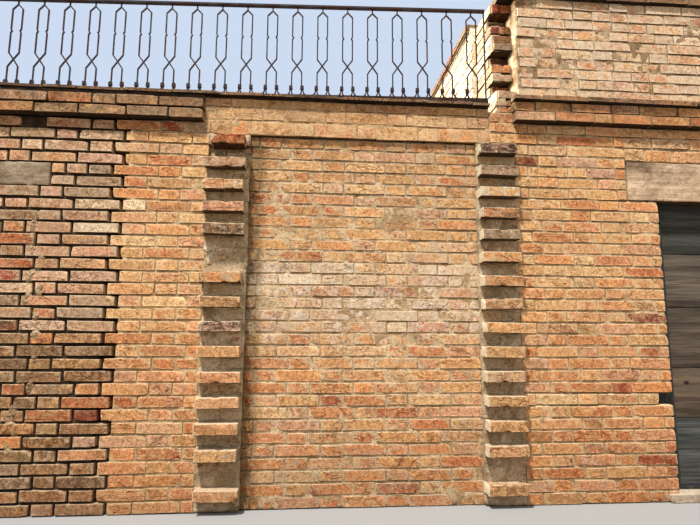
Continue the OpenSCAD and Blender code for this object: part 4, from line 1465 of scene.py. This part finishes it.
def raised_wall():
    wall = Masonry("raised_wall_bricks", 18)
    x0, x1, z0, z1 = raised_low.x, raised_high.x, raised_low.z, raised_high.z
    for n in range(RAISED_COURSES):
        z = z0 + n * COURSE
        uneven = "".join(wall.rng.choices("SSHHT", k=16))
        start = x0 + RAGGED + wall.rng.uniform(-0.012, 0.020)
        wall.course(FRONT_SIDE, start, x1, z, n, PALE, first=uneven, depths=(BODY, END_DEPTHS[n % 2]))
        wall.course(BACK_SIDE, -x1, -x0, z, n, PALE, first="HQS" if n % 2 else "SH",
                    depths=(END_DEPTHS[1 - n % 2], BODY))
    wall.front_bed(x0 + RAGGED_BED, x1 - EDGE, z0, z1, RAISED_SUNK, rough=0.012)
    wall.back_bed(-x1 + EDGE, -x0, z0, z1)
    wall.finish("pale", "lime", ["raised_wall"])


# Each course of the broken end from the bottom: its tone, how far its face is set back, and its height
BROKEN_COURSES = (
    ("orange", 0.016, 0.053), ("salmon", 0.018, 0.053), ("pale", 0.022, COURSE), ("rust", 0.135, COURSE),
    ("cream", 0.072, COURSE), ("orange", 0.095, COURSE), ("umber", 0.150, COURSE), ("grey", 0.060, COURSE),
    ("dirt", 0.082, COURSE), ("dark_red", 0.090, COURSE), ("umber", 0.160, COURSE), ("red", 0.080, COURSE),
)
# A course set back farther than this is a hole
CAVITY = 0.12
# How far right of their nodes' edges the scar's two ends and the raised wall's left face lie, and how deep
# the scar's mortar lies
SCAR_LEFT = 0.034
SCAR_RIGHT = 0.058
REVEAL = 0.045
SCAR_SUNK = 0.172


def broken_end():
    wall = Masonry("broken_end_bricks", 19)
    left, right = broken_low.x + SCAR_LEFT, raised_low.x + SCAR_RIGHT
    side = side_at(270, left)
    rng = wall.rng
    z = broken_low.z
    for n, (tone, back, rise) in enumerate(BROKEN_COURSES):
        height = rise - 0.009
        deep = back > CAVITY
        split = left + (right - left) * rng.choice((0.45, 0.6, 1.0, 1.0))
        start = left + (0.012 if deep else rng.uniform(-0.010, 0.014))
        for k, (a, b) in enumerate(((start, split - 0.004), (split, right + rng.uniform(-0.012, 0.006)))):
            if b - a > 0.03:
                own = back + (rng.uniform(-0.02, 0.01) if k else 0.0)
                wall.brick(FRONT_SIDE, a, b, z + 0.004, n, BROKEN, depth=0.11,
                           height=height - rng.uniform(0, 0.012), out=-max(0.01, own),
                           tone=tone if k == 0 or n < 3 else None, shapes=BLOCKS)
        wall.course(side, -BACK, -FRONT - back - 0.012, z, n, CREAM, first="SH" if n % 2 else "HS",
                    depths=(0.06, 0.06), height=height)
        z += rise
    wall.bed(FRONT_SIDE, left + 0.010, raised_low.x, broken_low.z, broken_high.z, SCAR_SUNK, HALF - 0.1,
             cell=0.012, rough=0.03)
    wall.bed(side, -BACK + 0.004, -FRONT - 0.18, broken_low.z, broken_high.z, 0.010, 0.08, MEDIUM)
    reveal = side_at(270, raised_low.x + REVEAL)
    wall.bed(reveal, 0.0, -FRONT - 0.003, raised_low.z, broken_high.z, -0.004, 0.03, 0.008, 0.014)
    wall.finish("plastered", "lime", ["raised_wall_broken_end"])


RETURN_COURSES = int(return_high.z / COURSE)
WEST_SUNK = 0.004
EAST_SUNK = 0.008


def return_wall():
    wall = Masonry("return_wall_bricks", 20)
    west, east = side_at(270, return_low.x), side_at(90, return_high.x)
    end = side_at(180, return_high.y)
    y0, y1 = return_low.y, return_high.y
    thick = return_high.x - return_low.x
    leaf = (thick - JOINT) / 2
    for n in range(RETURN_COURSES + 1):
        z = n * COURSE
        height = min(BRICK_H, return_high.z - z - 0.01)
        if n % 2:
            wall.course(west, -y1, -y0, z, n, CREAM, first="SH", depths=(leaf, BODY), height=height)
            wall.course(east, y0, y1, z, n, CREAM, last="SH", depths=(BODY, leaf), height=height)
        else:
            wall.course(west, -y1, -y0, z, n, CREAM, first="HS", depths=(thick, BODY), height=height)
            wall.course(east, y0, y1 - HEADER - JOINT, z, n, CREAM, last="SH", height=height)
    wall.bed(west, -y1 + EDGE, -y0, BED_FOOT, return_high.z, WEST_SUNK, thick / 2 - WEST_SUNK, MEDIUM)
    wall.bed(east, y0, y1 - EDGE, BED_FOOT, return_high.z, EAST_SUNK, thick / 2 - EAST_SUNK, COARSE)
    wall.bed(end, -return_high.x + 0.008, -return_low.x - 0.008, BED_FOOT, return_high.z, 0.006, 0.05, MEDIUM)
    wall.finish("pale", "cream mortar", ["return_wall"])


# Door and railing

# Board tones from the top; the top board's darker, greener tone is painted shade from the lintel above it
BOARD_TONES = (srgb(70, 72, 64), srgb(98, 88, 76), srgb(92, 80, 68), srgb(98, 84, 68), srgb(78, 80, 76))
# A tongue's front and back, measured from the board's face
TONGUE = (0.010, 0.020)


def boards():
    """Five wide boards, weathered, with worn edges and a tongue that closes the gap over each."""
    for k, tone in enumerate(BOARD_TONES, 1):
        node = "door_board_%d" % k
        low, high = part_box(node)
        board = begin_box(low, high)
        top = high.copy()
        if k > 1:
            top.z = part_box("door_board_%d" % (k - 1))[0].z
            cut((0, low.y + TONGUE[0], 0), (0, 1, 0))
            cut((0, low.y + TONGUE[1], 0), (0, 1, 0))
            middle = low.y + sum(TONGUE) / 2
            pick(board, "faces",
                 lambda f: f.normal.z > 0.9 and abs(f.calc_center_median().y - middle) < 0.002)
            bpy.ops.mesh.extrude_region_move(TRANSFORM_OT_translate={"value": (0, 0, top.z - high.z)})
        rng = random.Random(60 + k)
        slice_up(low.x, high.x, 14, 0.3, rng)
        slice_up(low.z, high.z, 4, 0.2, rng, (0, 0, 1))
        wear(board, lambda e: e.calc_face_angle(0) > 1, 0.003,
             lambda v: low.x + 0.01 < v.co.x < high.x - 0.01, 0.0008, k, segments=2)
        finish_shape(board, "weathered_board_%d" % k)
        hold_within(board, low, top)
        attribute = board.data.attributes.new("tone", "FLOAT_COLOR", "POINT")
        count = len(board.data.vertices)
        attribute.data.foreach_set("color", np.tile(tone, (count, 1)).astype(np.float32).ravel())
        board.data.shade_smooth()
        board.data.set_sharp_from_angle(angle=math.radians(35))
        put_on(board, MATERIALS["board"], "door", [node])


KEPT_NODES = {
    "paint": ("frame_left_post", "frame_right_post", "frame_head", "frame_sill"),
    "batten": ("door_battens",),
    "iron": ("hinge_pins", "hinge_straps", "railing_top_rail", "railing_loops", "railing_connectors",
             "railing_collars", "railing_end_posts"),
    # The coping's mortar bed takes the dark raked-joint mortar: a dark joint, and painted shade under the
    # coping slabs
    "raked joint": ("coping_bed_mortar", "railing_bed"),
}


def kept_nodes():
    for material, names in KEPT_NODES.items():
        for name in names:
            mesh = nodes[name].data
            mesh.materials.clear()
            mesh.materials.append(MATERIALS[material])


old_wall()
pressed_lumps("crack_filling", CRACK, 2, (0.014, 0.026), (0.024, 0.042), "cement")
pressed_lumps("lime_lumps", LIME_LUMPS, 1, (0.026, 0.040), (0.020, 0.034), "cream mortar")
stones()
second_wall()
strips()
panel()
frieze()
jamb()
over_door()
end_wall()
cornices()
return_cap()
raised_wall()
broken_end()
return_wall()
boards()
kept_nodes()


# Floor, lamps and camera

FLOOR_SIZE = 60
FLOOR_LIGHT = srgb(112, 92, 66)
FLOOR_SEEN = srgb(150, 149, 146)
SKY_LIGHT = (0.94, 0.94, 0.98, 1.0)
SKY_SEEN = srgb(206, 220, 242)
SKY_STRENGTH = 0.62
MID_WALL = (0, 0, 1.2)
RETURN_FACE = (0.2, 0.8, 2.9)

# Each lamp: its place, its aim, its size in metres, its power in watts, its colour and its spread in degrees
LAMPS = {
    "key": ((-13.4, -20.6, 51.5), MID_WALL, 3.0, 53500, (1.0, 0.985, 0.96), 180),
    "side": ((-16, 3, 7), RETURN_FACE, 3.0, 640, (1.0, 0.96, 0.90), 50),
    "fill": ((9, -10, 4), MID_WALL, 8.0, 120, (0.96, 0.98, 1.0), 180),
    "rear": ((4, 14, 9), MID_WALL, 6.0, 800, (1.0, 1.0, 1.0), 180),
}


def seen_directly(tree):
    """1 where the camera sees a surface itself, or sees it mirrored or through glass."""
    path = add(tree, "ShaderNodeLightPath").outputs
    seen = math_node(tree, "MAXIMUM", path["Is Camera Ray"], path["Is Glossy Ray"])
    return math_node(tree, "MAXIMUM", seen, path["Is Transmission Ray"])


def make_stage():
    bpy.ops.mesh.primitive_plane_add(size=FLOOR_SIZE, location=(0, 0, 0))
    floor = bpy.context.object
    floor.name = "floor"
    material, tree, shader = start_material("floor", 0.9)
    seen = seen_directly(tree)
    tree.links.new(mix(tree, seen, FLOOR_LIGHT, FLOOR_SEEN), shader.inputs["Base Color"])
    floor.data.materials.append(material)
    bpy.ops.object.select_all(action="DESELECT")


def make_lamp(name, place, aim, size, power, color, spread):
    data = bpy.data.lights.new(name, "AREA")
    data.shape = "SQUARE"
    data.size = size
    data.energy = power
    data.color = color
    data.spread = math.radians(spread)
    lamp = bpy.data.objects.new(name, data)
    lamp.location = place
    lamp.rotation_mode = "QUATERNION"
    lamp.rotation_quaternion = (Vector(aim) - Vector(place)).to_track_quat("-Z", "Y")
    bpy.context.scene.collection.objects.link(lamp)


def make_world():
    world = bpy.data.worlds.new("studio")
    world.use_nodes = True
    tree, sky = world.node_tree, world.node_tree.nodes["Background"]
    seen = seen_directly(tree)
    tree.links.new(mix(tree, seen, SKY_LIGHT, SKY_SEEN), sky.inputs["Color"])
    tree.links.new(stretch(tree, seen, 0.0, 1.0, SKY_STRENGTH, 1.0), sky.inputs["Strength"])
    bpy.context.scene.world = world


def make_camera():
    data = bpy.data.cameras.new("camera")
    data.lens = CAMERA_LENS
    data.sensor_width = SENSOR
    camera = bpy.data.objects.new("camera", data)
    camera.matrix_world = (
        Matrix.Translation(CAMERA_PLACE) @ Matrix.Rotation(math.radians(-CAMERA_YAW), 4, "Z")
        @ Matrix.Rotation(math.radians(90 + CAMERA_TILT), 4, "X")
        @ Matrix.Rotation(math.radians(CAMERA_ROLL), 4, "Z"))
    bpy.context.scene.collection.objects.link(camera)
    bpy.context.scene.camera = camera


make_stage()
for lamp_name, lamp in LAMPS.items():
    make_lamp(lamp_name, *lamp)
make_world()
make_camera()
bpy.context.scene.view_settings.view_transform = "Standard"
